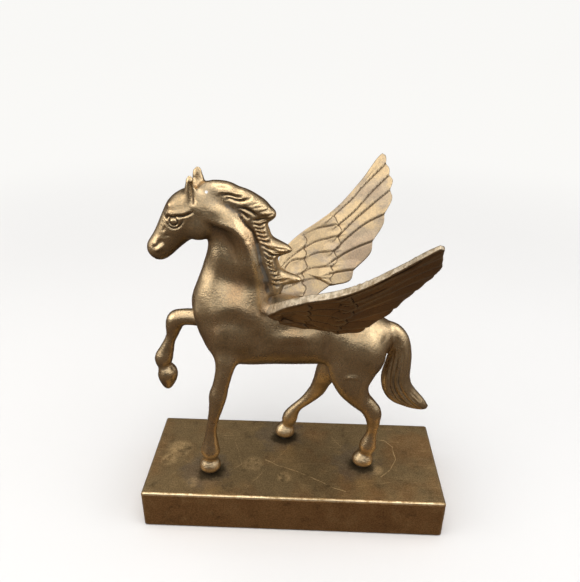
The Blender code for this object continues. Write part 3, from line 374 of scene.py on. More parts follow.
# Lines cut into the horse, on its near side and mirrored to its far side
MANE_SEAM = ((-19.8, -4.1, 103.4), (-19.5, -4.1, 102.0), (-18.3, -3.8, 99.4), (-16.4, -3.9, 96.4),
             (-14.9, -4.0, 94.7), (-13.8, -4.1, 92.4), (-13.0, -4.1, 89.5), (-12.5, -4.3, 86.3),
             (-12.0, -4.7, 83.5), (-11.0, -4.7, 80.4), (-9.8, -5.0, 77.5), (-8.1, -5.3, 74.0))
MANE_DEEP = (
    ((-24.6, -3.8, 105.9), (-21.7, -3.9, 106.1), (-19.1, -3.7, 105.6), (-17.4, -3.5, 105.4)),
    ((-23.2, -4.0, 105.1), (-21.2, -4.2, 105.0), (-19.2, -4.1, 104.4), (-17.1, -3.9, 104.4),
     (-14.5, -2.9, 105.2)),
    ((-19.2, -4.1, 101.9), (-16.8, -4.1, 101.7), (-14.8, -3.9, 100.7), (-13.1, -3.6, 99.3)),
    ((-18.6, -4.1, 101.1), (-17.4, -4.1, 100.0), (-15.6, -4.2, 98.5)))
MANE_COMB = (
    ((-14.5, -4.0, 98.1), (-12.2, -3.6, 97.9), (-9.6, -2.4, 98.3)),
    ((-14.3, -4.2, 97.0), (-12.2, -3.8, 96.3), (-10.2, -2.6, 96.6)),
    ((-13.8, -4.2, 95.5), (-12.4, -3.9, 95.2), (-10.7, -2.7, 94.8)),
    ((-13.5, -4.2, 94.2), (-12.2, -4.0, 93.9), (-10.4, -3.0, 93.1)),
    ((-13.2, -4.2, 92.9), (-11.9, -4.2, 92.5), (-9.8, -3.0, 91.8)),
    ((-12.5, -4.3, 91.5), (-10.8, -4.0, 91.0), (-8.5, -3.0, 90.2)),
    ((-12.1, -4.4, 90.0), (-10.3, -4.1, 89.1), (-8.7, -3.4, 88.0), (-6.5, -2.5, 87.2)),
    ((-11.4, -4.5, 88.3), (-9.5, -4.1, 87.0), (-7.8, -3.2, 85.7), (-5.6, -2.4, 85.5)),
    ((-11.2, -4.6, 86.6), (-9.9, -4.5, 85.4), (-8.4, -4.1, 84.4)),
    ((-10.9, -4.7, 85.0), (-9.5, -4.7, 83.8), (-8.2, -4.3, 83.0)),
    ((-10.3, -4.9, 83.3), (-8.9, -4.8, 82.2), (-7.7, -4.2, 81.5)),
    ((-9.6, -5.0, 81.4), (-8.1, -4.7, 80.6), (-6.6, -3.8, 80.2)),
    ((-9.2, -5.0, 79.6), (-6.2, -4.0, 78.7), (-3.4, -2.6, 78.0)),
    ((-9.0, -5.2, 78.0), (-6.1, -4.0, 77.0), (-2.4, -2.4, 76.8)),
    ((-8.9, -5.2, 76.4), (-6.4, -4.4, 75.4), (-2.8, -2.6, 75.2)))
MANE_FINE = (
    ((-25.6, -2.8, 108.4), (-23.6, -2.8, 108.4), (-21.6, -2.4, 108.3)),
    ((-20.6, -2.9, 107.2), (-19.0, -2.9, 106.9), (-17.2, -2.4, 106.7)),
    ((-15.4, -3.8, 102.8), (-13.7, -3.6, 103.3), (-12.2, -2.8, 103.6)),
    ((-14.4, -3.9, 101.9), (-12.3, -3.6, 102.2), (-10.9, -2.9, 102.3)),
    ((-12.6, -3.9, 100.6), (-10.6, -3.2, 100.9), (-9.0, -2.2, 101.3)),
    ((-12.2, -3.8, 99.2), (-10.2, -3.0, 99.0), (-8.0, -1.6, 99.4)),
    ((-8.2, -3.4, 88.6), (-5.6, -2.4, 87.8), (-3.4, -1.2, 87.2)))
TAIL_LINES = (
    ((34.0, -2.7, 49.9), (33.4, -2.1, 45.6), (32.5, -2.4, 40.6), (32.2, -2.6, 35.5),
     (33.5, -2.9, 31.4), (37.1, -3.2, 27.4), (42.4, -2.2, 24.0)),
    ((34.6, -3.1, 50.3), (34.2, -3.1, 45.6), (33.6, -3.6, 40.1), (33.9, -4.0, 35.2),
     (35.6, -4.1, 31.2), (39.4, -3.2, 26.7), (44.2, -2.0, 23.4)),
    ((35.7, -3.6, 50.3), (35.5, -3.9, 45.5), (35.1, -4.3, 40.6), (35.4, -4.6, 35.6),
     (37.3, -4.4, 31.1), (41.5, -3.0, 25.9), (45.6, -1.8, 23.2)),
    ((37.5, -3.7, 51.0), (37.3, -4.3, 45.7), (37.0, -4.6, 40.8), (37.2, -4.7, 36.4),
     (39.5, -4.2, 31.3), (44.3, -2.5, 24.8), (47.2, -1.4, 23.0)))
TAIL_FINE = (
    ((37.9, -2.5, 54.4), (39.3, -2.7, 51.6), (40.0, -2.9, 48.0), (40.0, -3.5, 42.7),
     (39.8, -3.7, 37.6), (40.4, -3.7, 33.4)),
    ((41.3, -3.3, 32.7), (43.7, -2.6, 29.8), (46.7, -2.0, 26.3)),
    ((40.8, -3.7, 31.7), (43.1, -3.2, 28.7), (45.8, -2.5, 25.6)))
EYE = (-39.2, -4.9, 97.7)
EYE_CREASES = (
    ((-41.6, -3.6, 97.9), (-40.6, -4.1, 99.0), (-38.6, -4.7, 99.3), (-36.2, -5.1, 99.5),
     (-34.0, -5.3, 100.3), (-32.6, -5.2, 101.2)),
    ((-41.5, -4.1, 97.2), (-40.7, -4.5, 96.0), (-39.3, -4.9, 95.4), (-37.7, -5.2, 95.9),
     (-36.5, -5.4, 97.2), (-35.7, -5.4, 98.8)),
    ((-42.0, -4.2, 95.6), (-43.0, -3.8, 93.9)), ((-42.9, -3.8, 92.6), (-40.4, -4.4, 92.6)))
NOSTRIL = ((-46.9, -3.1, 88.1), (-45.6, -3.4, 88.9), (-44.2, -3.6, 90.1), (-43.1, -3.7, 90.9))
NOSTRIL_RIM = ((-45.9, -3.6, 87.2), (-44.3, -3.9, 88.2), (-42.9, -4.0, 89.7))
EAR_HOLLOW = ((-32.6, -4.6, 103.0), (-32.5, -4.8, 105.8), (-32.6, -4.6, 108.2), (-32.8, -4.2, 110.2))
BROW = ((-41.8, -3.0, 99.0), (-40.4, -3.9, 100.0), (-38.4, -4.7, 100.3), (-35.6, -5.2, 100.6),
        (-33.2, -5.2, 101.6))
CHEEK_EDGE = ((-32.4, -4.9, 103.9), (-31.1, -5.2, 102.4), (-30.2, -5.4, 100.6), (-28.6, -5.6, 98.8),
              (-26.3, -5.9, 97.6), (-23.2, -6.6, 97.0), (-20.4, -6.7, 95.8), (-18.1, -6.5, 93.4),
              (-16.3, -6.4, 90.4), (-14.8, -6.4, 87.0), (-13.2, -6.5, 82.9))
NECK_FLANK = ((-31.5, -3.6, 83.4), (-28.6, -4.8, 81.2), (-24.6, -6.5, 79.2), (-20.7, -7.1, 77.7),
              (-17.1, -7.8, 77.0), (-13.0, -8.0, 76.0), (-9.0, -8.0, 74.0), (-5.5, -8.4, 71.5))
SHOULDER_TOP = ((-31.6, -6.4, 56.4), (-30.4, -7.2, 61.0), (-28.0, -8.1, 65.3), (-24.2, -8.6, 68.2),
                (-20.2, -8.5, 68.9), (-16.3, -8.8, 67.0), (-13.7, -9.1, 63.0), (-12.4, -9.6, 58.6))
BREAST_LOW = ((-31.0, -7.0, 54.0), (-28.3, -8.0, 54.6), (-24.2, -8.6, 52.6), (-19.5, -8.8, 51.4),
              (-14.8, -9.0, 52.4), (-11.6, -9.2, 54.0))
BARREL = ((-9.4, -9.4, 56.6), (-5.1, -9.4, 58.0), (-1.0, -9.2, 58.7), (2.6, -9.0, 58.4), (5.8, -8.8, 57.2))
NECK_HOLLOW = ((-28.6, -4.4, 95.2), (-25.7, -4.5, 93.6), (-23.1, -5.0, 90.9), (-21.3, -5.9, 88.0),
               (-20.2, -6.5, 84.3), (-19.8, -6.8, 79.8))
THROAT = ((-27.2, -3.6, 88.9), (-26.4, -4.4, 86.3), (-26.7, -5.3, 82.1), (-27.9, -6.0, 77.8),
          (-29.5, -6.5, 73.3))
ELBOW_HOLLOW = ((-14.5, -10.0, 61.5), (-12.8, -10.2, 56.5), (-13.6, -9.8, 51.0))
FLANK_HOLLOW = ((9.4, -8.6, 61.0), (10.1, -8.8, 56.5), (10.0, -8.9, 52.0), (9.6, -8.2, 47.0))
STIFLE = ((16.6, -10.4, 43.0), (18.9, -10.8, 43.4), (21.4, -10.8, 43.2))
RUMP = ((30.0, -4.4, 59.4), (30.6, -5.6, 57.1), (30.6, -6.3, 55.2), (32.4, -4.8, 52.6))
KNEE_NICK = ((-30.4, -11.4, 24.2), (-29.3, -11.7, 23.6), (-28.5, -11.2, 24.4))
NECK_NICKS = (((-18.8, -7.1, 85.4), (-18.2, -7.2, 85.0), (-17.2, -7.2, 85.1)),
              ((-17.8, -8.1, 76.1), (-16.9, -8.2, 75.9), (-15.6, -8.2, 75.7)),
              ((-16.6, -6.3, 92.6), (-16.1, -6.2, 91.6)))


def blend_forms(data):
    """Let the trunk, neck and the tops of the limbs flow into each other."""
    points = read_rows(data.vertices, "co")
    x, y, z = points.T
    trunk = np.clip((z - 41) / 6, 0, 1) * np.clip((99 - z) / 8, 0, 1)
    trunk *= np.clip((x + 39) / 4, 0, 1) * np.clip((33 - x) / 4, 0, 1)
    crest = np.clip((x + 16.5 + (z - 92) * 0.25) / 2, 0, 1) * np.clip((z - 70) / 4, 0, 1)
    weight = 0.06 + 0.44 * trunk * (1 - crest)
    weight[(z > 90) & (x < -27)] = 0.22
    links = np.empty(len(data.edges) * 2, dtype=np.int32)
    data.edges.foreach_get("vertices", links)
    set_vertices(data, relaxed(points, links.reshape(-1, 2), weight[:, None], BLEND_ROUNDS))


def carve_horse(data, depth):
    """Cut the mane, tail, eyes, nostrils and muscle lines; depth is 1 for the real relief."""
    points, normals = read_rows(data.vertices, "co"), read_rows(data.vertices, "normal")
    for lines, width, cut in (
            ([CHEEK_EDGE], 1.4, -0.75), ([NECK_HOLLOW], 2.6, 0.9), ([THROAT], 1.8, -0.3),
            ([NECK_FLANK], 4.4, 1.7), ([SHOULDER_TOP], 3.4, -0.8), ([BARREL], 2.4, -0.7),
            ([BREAST_LOW], 3.2, 0.7),
            ([ELBOW_HOLLOW], 2.8, 0.85), ([FLANK_HOLLOW], 3.0, 1.0), ([RUMP], 1.6, 0.3)):
        points = chisel(points, normals, lines, width, cut * depth, ends=1.2)
    set_vertices(data, points)
    normals = read_rows(data.vertices, "normal")
    for lines, width, cut in (
            ([MANE_SEAM], 0.45, 0.5), (MANE_DEEP, 0.5, 0.85), (MANE_COMB, 0.36, 0.65),
            (MANE_FINE, 0.32, 0.28), (TAIL_LINES, 0.55, 0.6), (TAIL_FINE, 0.35, 0.22),
            (EYE_CREASES[:1], 0.4, 0.7), (EYE_CREASES[1:2], 0.42, 0.5), (EYE_CREASES[2:], 0.4, 0.2),
            ([NOSTRIL], 0.8, 0.55), ([NOSTRIL_RIM], 0.6, -0.25), ([EAR_HOLLOW], 0.75, 0.9),
            ([BROW], 1.0, -0.45)):
        points = chisel(points, normals, lines, width, cut * depth)
    for lines, width, cut in (([STIFLE], 0.6, -0.5), ([KNEE_NICK], 0.3, 0.18), (NECK_NICKS, 0.3, 0.2)):
        points = chisel(points, normals, lines, width, cut * depth, mirror=False)
    for side in (1, -1):
        distance = np.linalg.norm(points - np.array(EYE) * (1, side, 1), axis=1)
        rise = 0.45 * np.sqrt(np.clip(1 - (distance / 1.15) ** 2, 0, 1))
        rise -= 0.32 * np.exp(-((distance - 1.4) / 0.28) ** 2)
        rise += 0.28 * np.exp(-((distance - 1.95) / 0.3) ** 2)
        points = points + normals * (rise * depth)[:, None]
    set_vertices(data, points)


def mane_region(points):
    x, y, z = points.T
    return (z > 73) & (x > -27) & (x + 21 > (104 - z) * 0.62)


def fine_regions(points):
    """True where the horse carries fine relief: head, mane, tail and hooves."""
    x, y, z = points.T
    return mane_region(points) | ((z > 84) & (x < -29)) | ((x > 30.5) & (z < 53)) | (z < 9)


# Geometry nodes

def hair_tree():
    """Tapered strands along lines, laid on a skin."""
    tree = bpy.data.node_groups.new("hair_strands", "GeometryNodeTree")
    sockets = tree.interface
    sockets.new_socket("Lines", in_out="INPUT", socket_type="NodeSocketGeometry")
    radius = sockets.new_socket("Strand radius", in_out="INPUT", socket_type="NodeSocketFloat")
    radius.subtype = "DISTANCE"
    sockets.new_socket("Steps", in_out="INPUT", socket_type="NodeSocketInt")
    sockets.new_socket("Skin", in_out="INPUT", socket_type="NodeSocketObject")
    sockets.new_socket("Brass", in_out="INPUT", socket_type="NodeSocketMaterial")
    sockets.new_socket("Strands", in_out="OUTPUT", socket_type="NodeSocketGeometry")
    nodes, link = tree.nodes, tree.links.new
    given = nodes.new("NodeGroupInput")
    curve = nodes.new("GeometryNodeMeshToCurve")
    link(given.outputs["Lines"], curve.inputs["Mesh"])
    steps = nodes.new("GeometryNodeResampleCurve")
    link(curve.outputs["Curve"], steps.inputs["Curve"])
    link(given.outputs["Steps"], steps.inputs["Count"])
    skin = nodes.new("GeometryNodeObjectInfo")
    link(given.outputs["Skin"], skin.inputs["Object"])
    nearest = nodes.new("GeometryNodeProximity")
    nearest.target_element = "FACES"
    link(skin.outputs["Geometry"], nearest.inputs[0])
    laid = nodes.new("GeometryNodeSetPosition")
    link(steps.outputs["Curve"], laid.inputs["Geometry"])
    link(nearest.outputs["Position"], laid.inputs["Position"])
    share = nodes.new("GeometryNodeSplineParameter")
    arch = nodes.new("ShaderNodeMath")
    arch.operation = "MULTIPLY"
    arch.inputs[1].default_value = pi
    link(share.outputs["Factor"], arch.inputs[0])
    swell = nodes.new("ShaderNodeMath")
    swell.operation = "SINE"
    link(arch.outputs[0], swell.inputs[0])
    ring = nodes.new("GeometryNodeCurvePrimitiveCircle")
    ring.inputs["Resolution"].default_value = 10
    link(given.outputs["Strand radius"], ring.inputs["Radius"])
    tube = nodes.new("GeometryNodeCurveToMesh")
    link(laid.outputs["Geometry"], tube.inputs["Curve"])
    link(ring.outputs["Curve"], tube.inputs["Profile Curve"])
    link(swell.outputs[0], tube.inputs["Scale"])
    tube.inputs["Fill Caps"].default_value = True
    real = nodes.new("GeometryNodeRealizeInstances")
    link(tube.outputs["Mesh"], real.inputs["Geometry"])
    smooth = nodes.new("GeometryNodeSetShadeSmooth")
    link(real.outputs["Geometry"], smooth.inputs["Geometry"])
    brass = nodes.new("GeometryNodeSetMaterial")
    link(smooth.outputs["Geometry"], brass.inputs["Geometry"])
    link(given.outputs["Brass"], brass.inputs["Material"])
    result = nodes.new("NodeGroupOutput")
    link(brass.outputs["Geometry"], result.inputs["Strands"])
    return tree


def socket_of(tree, name):
    for item in tree.interface.items_tree:
        if item.item_type == "SOCKET" and item.in_out == "INPUT" and item.name == name:
            return item.identifier
    raise KeyError(name)


def strands(name, lines, radius, skin, material):
    """Ridges of hair laid along lines of the figure on both sides of a skin."""
    mesh = bmesh.new()
    for line in lines:
        for side in (1, -1):
            path = [mesh.verts.new(FIGURE @ Vector(row)) for row in spline(line, 4) * (1, side, 1)]
            for start, end in zip(path, path[1:]):
                mesh.edges.new((start, end))
    data = bpy.data.meshes.new(name)
    mesh.to_mesh(data)
    mesh.free()
    thing = bpy.data.objects.new(name + "_lines", data)
    bpy.context.scene.collection.objects.link(thing)
    tree = hair_tree()
    grow = thing.modifiers.new("strands", "NODES")
    grow.node_group = tree
    grow[socket_of(tree, "Strand radius")] = radius
    grow[socket_of(tree, "Steps")] = 22
    grow[socket_of(tree, "Skin")] = skin
    grow[socket_of(tree, "Brass")] = material
    data = plain_mesh(thing)
    data.name = name
    piece = bpy.data.objects.new(name, data)
    bpy.context.scene.collection.objects.link(piece)
    return piece


def between(first, second):
    """The line midway between two neighbouring cuts."""
    rows = [spline(line, 4)[np.linspace(0, 4 * (len(line) - 1), 5).astype(int)] for line in (first, second)]
    return [tuple(row) for row in (rows[0] + rows[1]) / 2]


# Wings: flat pattern in millimetres, along the span from the root, across to the feather tips
WING_ROOT = (-9.2, -10.3, 66.3)
WING_SPAN_AXIS = (0.589, -0.553, 0.589)
WING_CHORD_AXIS = (0.805, 0.337, -0.488)
WING_THICKNESS = 1.3
WING_ROOT_THICKNESS = 3.6
WING_FRONT = ((1.4, -1.8), (4.8, -3.0), (9.5, -4.0), (13.0, -5.0), (18.0, -5.4), (25.0, -4.2),
              (32.0, -2.1), (39.0, -0.2), (46.0, 0.9), (56.6, 1.5), (65.8, 1.2), (69.3, 1.6))
FEATHER_TIPS = (
    ((69.3, 1.6), (68.8, 3.5), (66.4, 5.0)), ((66.4, 5.0), (65.3, 7.3), (63.1, 8.7)),
    ((63.1, 8.7), (61.8, 11.2), (58.1, 12.4)), ((58.1, 12.4), (55.2, 15.2), (48.9, 16.2)),
    ((48.9, 16.2), (45.1, 18.2), (38.1, 18.7)), ((38.1, 18.7), (33.6, 20.7), (25.6, 19.4)),
    ((25.6, 19.4), (21.4, 20.5), (15.5, 15.7)), ((15.5, 15.7), (12.0, 14.7), (8.2, 13.8)))
WING_BACK = ((8.2, 13.8), (5.8, 11.2), (2.8, 7.8), (0.4, 4.6), (0.4, 1.6))
FEATHER_LINES = (
    ((66.4, 5.0), (53.4, 3.2), (47.1, 2.8), (41.8, 1.8), (35.9, 0.8)),
    ((63.1, 8.7), (53.4, 7.2), (44.0, 6.4), (35.6, 4.6)),
    ((58.1, 12.4), (49.1, 10.2), (41.1, 8.4), (32.3, 7.1)),
    ((48.9, 16.2), (42.1, 12.5), (33.7, 10.2), (27.0, 9.2)),
    ((38.1, 18.7), (33.6, 15.6), (28.7, 13.0), (22.9, 10.9)),
    ((25.6, 19.4), (22.4, 15.8), (18.6, 12.9)), ((15.5, 15.7), (15.0, 12.0), (14.4, 9.8)))
COVERT_LINES = (
    ((35.7, 4.4), (30.1, -0.8), (24.4, -3.4)), ((32.3, 7.1), (26.2, 2.1), (20.3, -0.4)),
    ((26.6, 9.2), (22.5, 4.7), (17.3, 2.1)), ((21.4, 11.6), (16.4, 6.5), (11.9, 4.7)),
    ((17.2, 13.8), (13.1, 8.9), (9.3, 6.7)), ((20.3, -0.4), (14.0, -2.0), (8.0, -2.4)),
    ((17.0, 2.0), (13.3, -1.0), (7.0, -0.8)), ((12.0, 4.8), (8.0, 2.4), (4.5, 0.8)),
    ((10.0, 6.6), (7.0, 5.2), (3.6, 3.6)))
# Corners between the rounded ends of the two rows of coverts
COVERT_ROWS = (
    ((35.6, -1.6), (35.7, 4.6), (32.0, 7.2), (26.7, 9.2), (21.2, 11.8), (17.2, 14.0), (14.6, 15.8)),
    ((24.4, -4.6), (20.4, -0.4), (17.2, 2.0), (12.0, 4.8), (9.2, 6.8), (6.2, 10.0)))
WING_BOW = ((-2, -2.6, -1.4, -1.0), (6, -1.2, 0.4, 1.2), (12, 0.2, 1.7, 3.0), (20, 1.0, 2.9, 3.7),
            (27, 1.3, 2.8, 2.6), (36, 1.4, 1.8, 0.6), (45, 1.0, 0.6, -1.6), (55, 0.4, -0.9, -3.4),
            (72, -0.7, -2.4, -4.2))
BOW_FRONT, BOW_BACK = -4.0, 18.0
# The flat leading edge: along the span, its thickness and how far the wedge behind it runs back
LEADING_EDGE = ((1.4, 3.0, 5.0), (4.8, 3.5, 5.0), (9.5, 3.2, 5.0), (13.0, 2.9, 5.0), (18.0, 2.7, 5.0),
                (25.0, 2.6, 5.0), (32.0, 2.5, 4.6), (39.0, 2.3, 4.2), (46.0, 2.2, 4.0), (56.6, 1.9, 3.4),
                (65.8, 1.5, 2.4), (69.3, 1.2, 1.4))


def wing_bow(span, chord):
    """How far each point of the wing stands out of the flat pattern."""
    table = spline(WING_BOW, 6)
    front, middle, back = (np.interp(span, table[:, 0], table[:, row]) for row in (1, 2, 3))
    across = np.clip((chord - BOW_FRONT) / (BOW_BACK - BOW_FRONT), 0, 1.1)
    return (front * (1 - across) * (1 - 2 * across) + 4 * middle * across * (1 - across)
            + back * across * (2 * across - 1))


def row_ends(corners):
    """The line along a row's rounded feather ends, which bulge towards the wing's tip."""
    line = []
    for start, end in zip(np.array(corners[:-1]), np.array(corners[1:])):
        run = end - start
        bulge = (start + end) / 2 + np.array((run[1], -run[0])) * 0.3
        line.append(spline((start, bulge, end), 5)[:-1])
    return np.vstack(line)


def line_distance(pattern, path):
    """Distance of each point of the pattern to a path, and which side of it the point is on."""
    nearest, hand = np.full(len(pattern), np.inf), np.zeros(len(pattern))
    for start, end in zip(path[:-1], path[1:]):
        run = end - start
        along = np.clip((pattern - start) @ run / (run @ run), 0, 1)
        away = pattern - start - along[:, None] * run
        distance = np.hypot(away[:, 0], away[:, 1])
        closer = distance < nearest
        nearest[closer] = distance[closer]
        hand[closer] = (run[0] * away[:, 1] - run[1] * away[:, 0])[closer]
    return nearest, np.sign(hand)


STEP_RUN = 4.0


def feather_relief(pattern, paths, groove, width, step):
    """Height over the flat: a groove on each path and a step along one side of it."""
    height = np.zeros(len(pattern))
    for path in paths:
        distance, hand = line_distance(pattern, path)
        height -= groove * np.exp(-(distance / width) ** 2)
        raised = (hand > 0) & (distance < STEP_RUN)
        height[raised] += step * (1 - distance[raised] / STEP_RUN)
    return height


def flat_wing(mesh):
    outline = [tuple(point) for point in spline(WING_FRONT, 5)[:-1]]
    for lobe in FEATHER_TIPS:
        outline += [tuple(point) for point in spline(lobe, 7)[:-1]]
    outline += [tuple(point) for point in spline(WING_BACK, 4)]
    face = mesh.faces.new([mesh.verts.new((x, y, -WING_THICKNESS / 2)) for x, y in outline])
    raised = bmesh.ops.extrude_face_region(mesh, geom=[face])
    moved = [item for item in raised["geom"] if isinstance(item, bmesh.types.BMVert)]
    bmesh.ops.translate(mesh, vec=(0, 0, WING_THICKNESS), verts=moved)
    thick = WING_ROOT_THICKNESS / 2
    loft(mesh, [
        (1.0, 0.6, 0.3, thick * 0.85, 2.2), (3.0, -0.2, 0.4, thick, 2.8),
        (6.0, -1.4, 0.4, thick * 0.85, 2.0), (10.0, -2.8, 0.3, thick * 0.6, 1.2)], sides=20)
    front = spline(WING_FRONT, 4)
    table = np.array(LEADING_EDGE)
    rings = []
    for span, chord in front:
        half = np.interp(span, table[:, 0], table[:, 1]) / 2
        run = np.interp(span, table[:, 0], table[:, 2])
        rings.append([mesh.verts.new(place) for place in (
            (span, chord - 0.2, half + 0.2), (span, chord + run, 0.55 + 0.2),
            (span, chord + run, -0.55 + 0.2), (span, chord - 0.2, -half + 0.2))])
    for ring, after in zip(rings, rings[1:]):
        for corner in range(4):
            last = (corner + 1) % 4
            mesh.faces.new((ring[corner], ring[last], after[last], after[corner]))
    mesh.faces.new(rings[0][::-1])
    mesh.faces.new(rings[-1])
    loft(mesh, [
        (1.6, 2.8, 0.4, thick, 2.6), (4.0, 5.6, 0.4, thick * 0.9, 2.8), (7.5, 9.0, 0.3, 1.3, 2.6),
        (11.5, 11.5, 0, 0.8, 1.6)], sides=20)


def wing_skin(side, voxel, depth):
    """A wing's skin in the figure's frame; side is -1 near, 1 far."""
    mesh = bmesh.new()
    flat_wing(mesh)
    data = fused(mesh, "wing", voxel, 2)
    points, normals = read_rows(data.vertices, "co"), read_rows(data.vertices, "normal")
    pattern = points[:, :2]
    feathers = feather_relief(pattern, [spline(line, 4) for line in FEATHER_LINES], 0.26, 0.36, 0.55)
    coverts = feather_relief(pattern, [spline(line, 4) for line in COVERT_LINES], 0.2, 0.34, 0.3)
    coverts += feather_relief(pattern, [row_ends(row) for row in COVERT_ROWS], 0.1, 0.32, 0.5)
    front, _ = line_distance(pattern, spline(WING_FRONT, 4))
    clear = np.clip((front - 0.6) / 1.2, 0, 1) * depth
    edge = np.clip((1.2 - front) / 0.5, 0, 1) * np.clip(1.6 - np.abs(normals[:, 2]) * 2, 0, 1)
    mark(data, "edge", edge)
    face = np.clip(normals[:, 2] * 1.5, -1, 1)
    span = np.array(WING_SPAN_AXIS) / np.linalg.norm(WING_SPAN_AXIS)
    chord = np.array(WING_CHORD_AXIS) / np.linalg.norm(WING_CHORD_AXIS)
    outward = np.cross(chord, span)
    outer = (face * np.sign(outward[1] * -1) > 0).astype(float)
    points[:, 2] += clear * face * (feathers * (1 + 0.6 * outer) + coverts * (1 - 0.5 * outer))
    bow = wing_bow(points[:, 0], points[:, 1])
    placed = (np.array(WING_ROOT) + np.outer(points[:, 0], span) + np.outer(points[:, 1], chord)
              + np.outer(bow + points[:, 2], outward))
    placed[:, 1] *= -side
    mark(data, "outer", outer)
    set_vertices(data, placed)
    if side < 0:
        data.flip_normals()
    return data


# Shader maths

class Wire:
    """One output in a material's tree; arithmetic on it adds the maths nodes."""

    def __init__(self, finish, socket):
        self.finish, self.socket = finish, socket

    def __add__(self, other):
        return self.finish.maths("ADD", self, other)

    def __mul__(self, other):
        return self.finish.maths("MULTIPLY", self, other)

    def __sub__(self, other):
        return self.finish.maths("SUBTRACT", self, other)

    def __rsub__(self, other):
        return self.finish.maths("SUBTRACT", other, self)

    def __truediv__(self, other):
        return self.finish.maths("DIVIDE", self, other)

    def __pow__(self, other):
        return self.finish.maths("POWER", self, other)

    __radd__ = __add__
    __rmul__ = __mul__


class Finish:
    """A material under construction on one Principled shader."""

    def __init__(self, name):
        self.material = bpy.data.materials.new(name)
        self.material.use_nodes = True
        self.tree = self.material.node_tree
        self.shader = self.tree.nodes["Principled BSDF"]
        self.place = self.node("ShaderNodeTexCoord", output="Object")

    def node(self, kind, settings=None, sockets=None, output=0):
        """Any node, its settings first and then the values or links of its sockets."""
        made = self.tree.nodes.new(kind)
        for name, value in (settings or {}).items():
            if name == "stops":
                while len(made.color_ramp.elements) < len(value):
                    made.color_ramp.elements.new(0.5)
                for element, (where, colour) in zip(made.color_ramp.elements, value):
                    element.position, element.color = where, colour
            else:
                setattr(made, name, value)
        for name, value in (sockets or {}).items():
            self.feed(made.inputs[name], value)
        return Wire(self, made.outputs[output])

    def feed(self, socket, value):
        if isinstance(value, Wire):
            self.tree.links.new(value.socket, socket)
        else:
            socket.default_value = value

    def maths(self, operation, *values, clamp=False):
        return self.node("ShaderNodeMath", {"operation": operation, "use_clamp": clamp},
                         dict(enumerate(values)))

    def ramp(self, value, low, high):
        """0 at low, 1 at high, eased and clamped; low may be above high."""
        return self.node("ShaderNodeMapRange", {"interpolation_type": "SMOOTHSTEP"},
                         {"Value": value, "From Min": low, "From Max": high})

    def mix(self, factor, first, second, blend="MIX"):
        return self.node("ShaderNodeMix", {"data_type": "RGBA", "blend_type": blend},
                         {0: factor, 6: first, 7: second}, output=2)

    def noise(self, scale, detail=2.0, where=None, roughness=0.5):
        return self.node("ShaderNodeTexNoise", None,
                         {"Vector": where or self.place, "Scale": scale, "Detail": detail,
                          "Roughness": roughness}, output="Fac")

    def pattern(self, name):
        return self.node("ShaderNodeAttribute", {"attribute_name": name}, output="Fac")

    def axes(self):
        split = self.node("ShaderNodeSeparateXYZ", None, {"Vector": self.place})
        return [Wire(self, output) for output in split.socket.node.outputs]

    def bump(self, height, strength, distance, under=None):
        sockets = {"Height": height, "Strength": strength, "Distance": distance}
        if under is not None:
            sockets["Normal"] = under
        return self.node("ShaderNodeBump", None, sockets, output="Normal")

    def done(self, **sockets):
        for name, value in sockets.items():
            self.feed(self.shader.inputs[name.replace("_", " ")], value)
        return self.material


# Grey residue behind the near ear, down the mane's seam, over the withers and at the wing roots,
# each with its radius, and a white fleck in it
RESIDUE = (((-28.0, -3.2, 106.4), 0.0042), ((-20.0, -4.2, 101.5), 0.0035), ((-12.6, -4.4, 87.0), 0.0035),
           ((-10.6, -4.8, 79.5), 0.004), ((-9.0, -8.6, 68.5), 0.004), ((-5.0, -3.5, 71.5), 0.0065),
           ((3.0, -3.0, 69.0), 0.006))
FLECK = (-28.5, -3.2, 106.8)


def near(finish, place, radius, ragged):
    """1 within a radius of a point of the figure, with a ragged border."""
    centre = FIGURE @ Vector(place)
    x, y, z = finish.axes()
    away = ((x - centre.x) ** 2 + (y - centre.y) ** 2 + (z - centre.z) ** 2) ** 0.5
    return finish.ramp(away + (ragged - 0.5) * (radius * 1.4), radius, radius * 0.55)


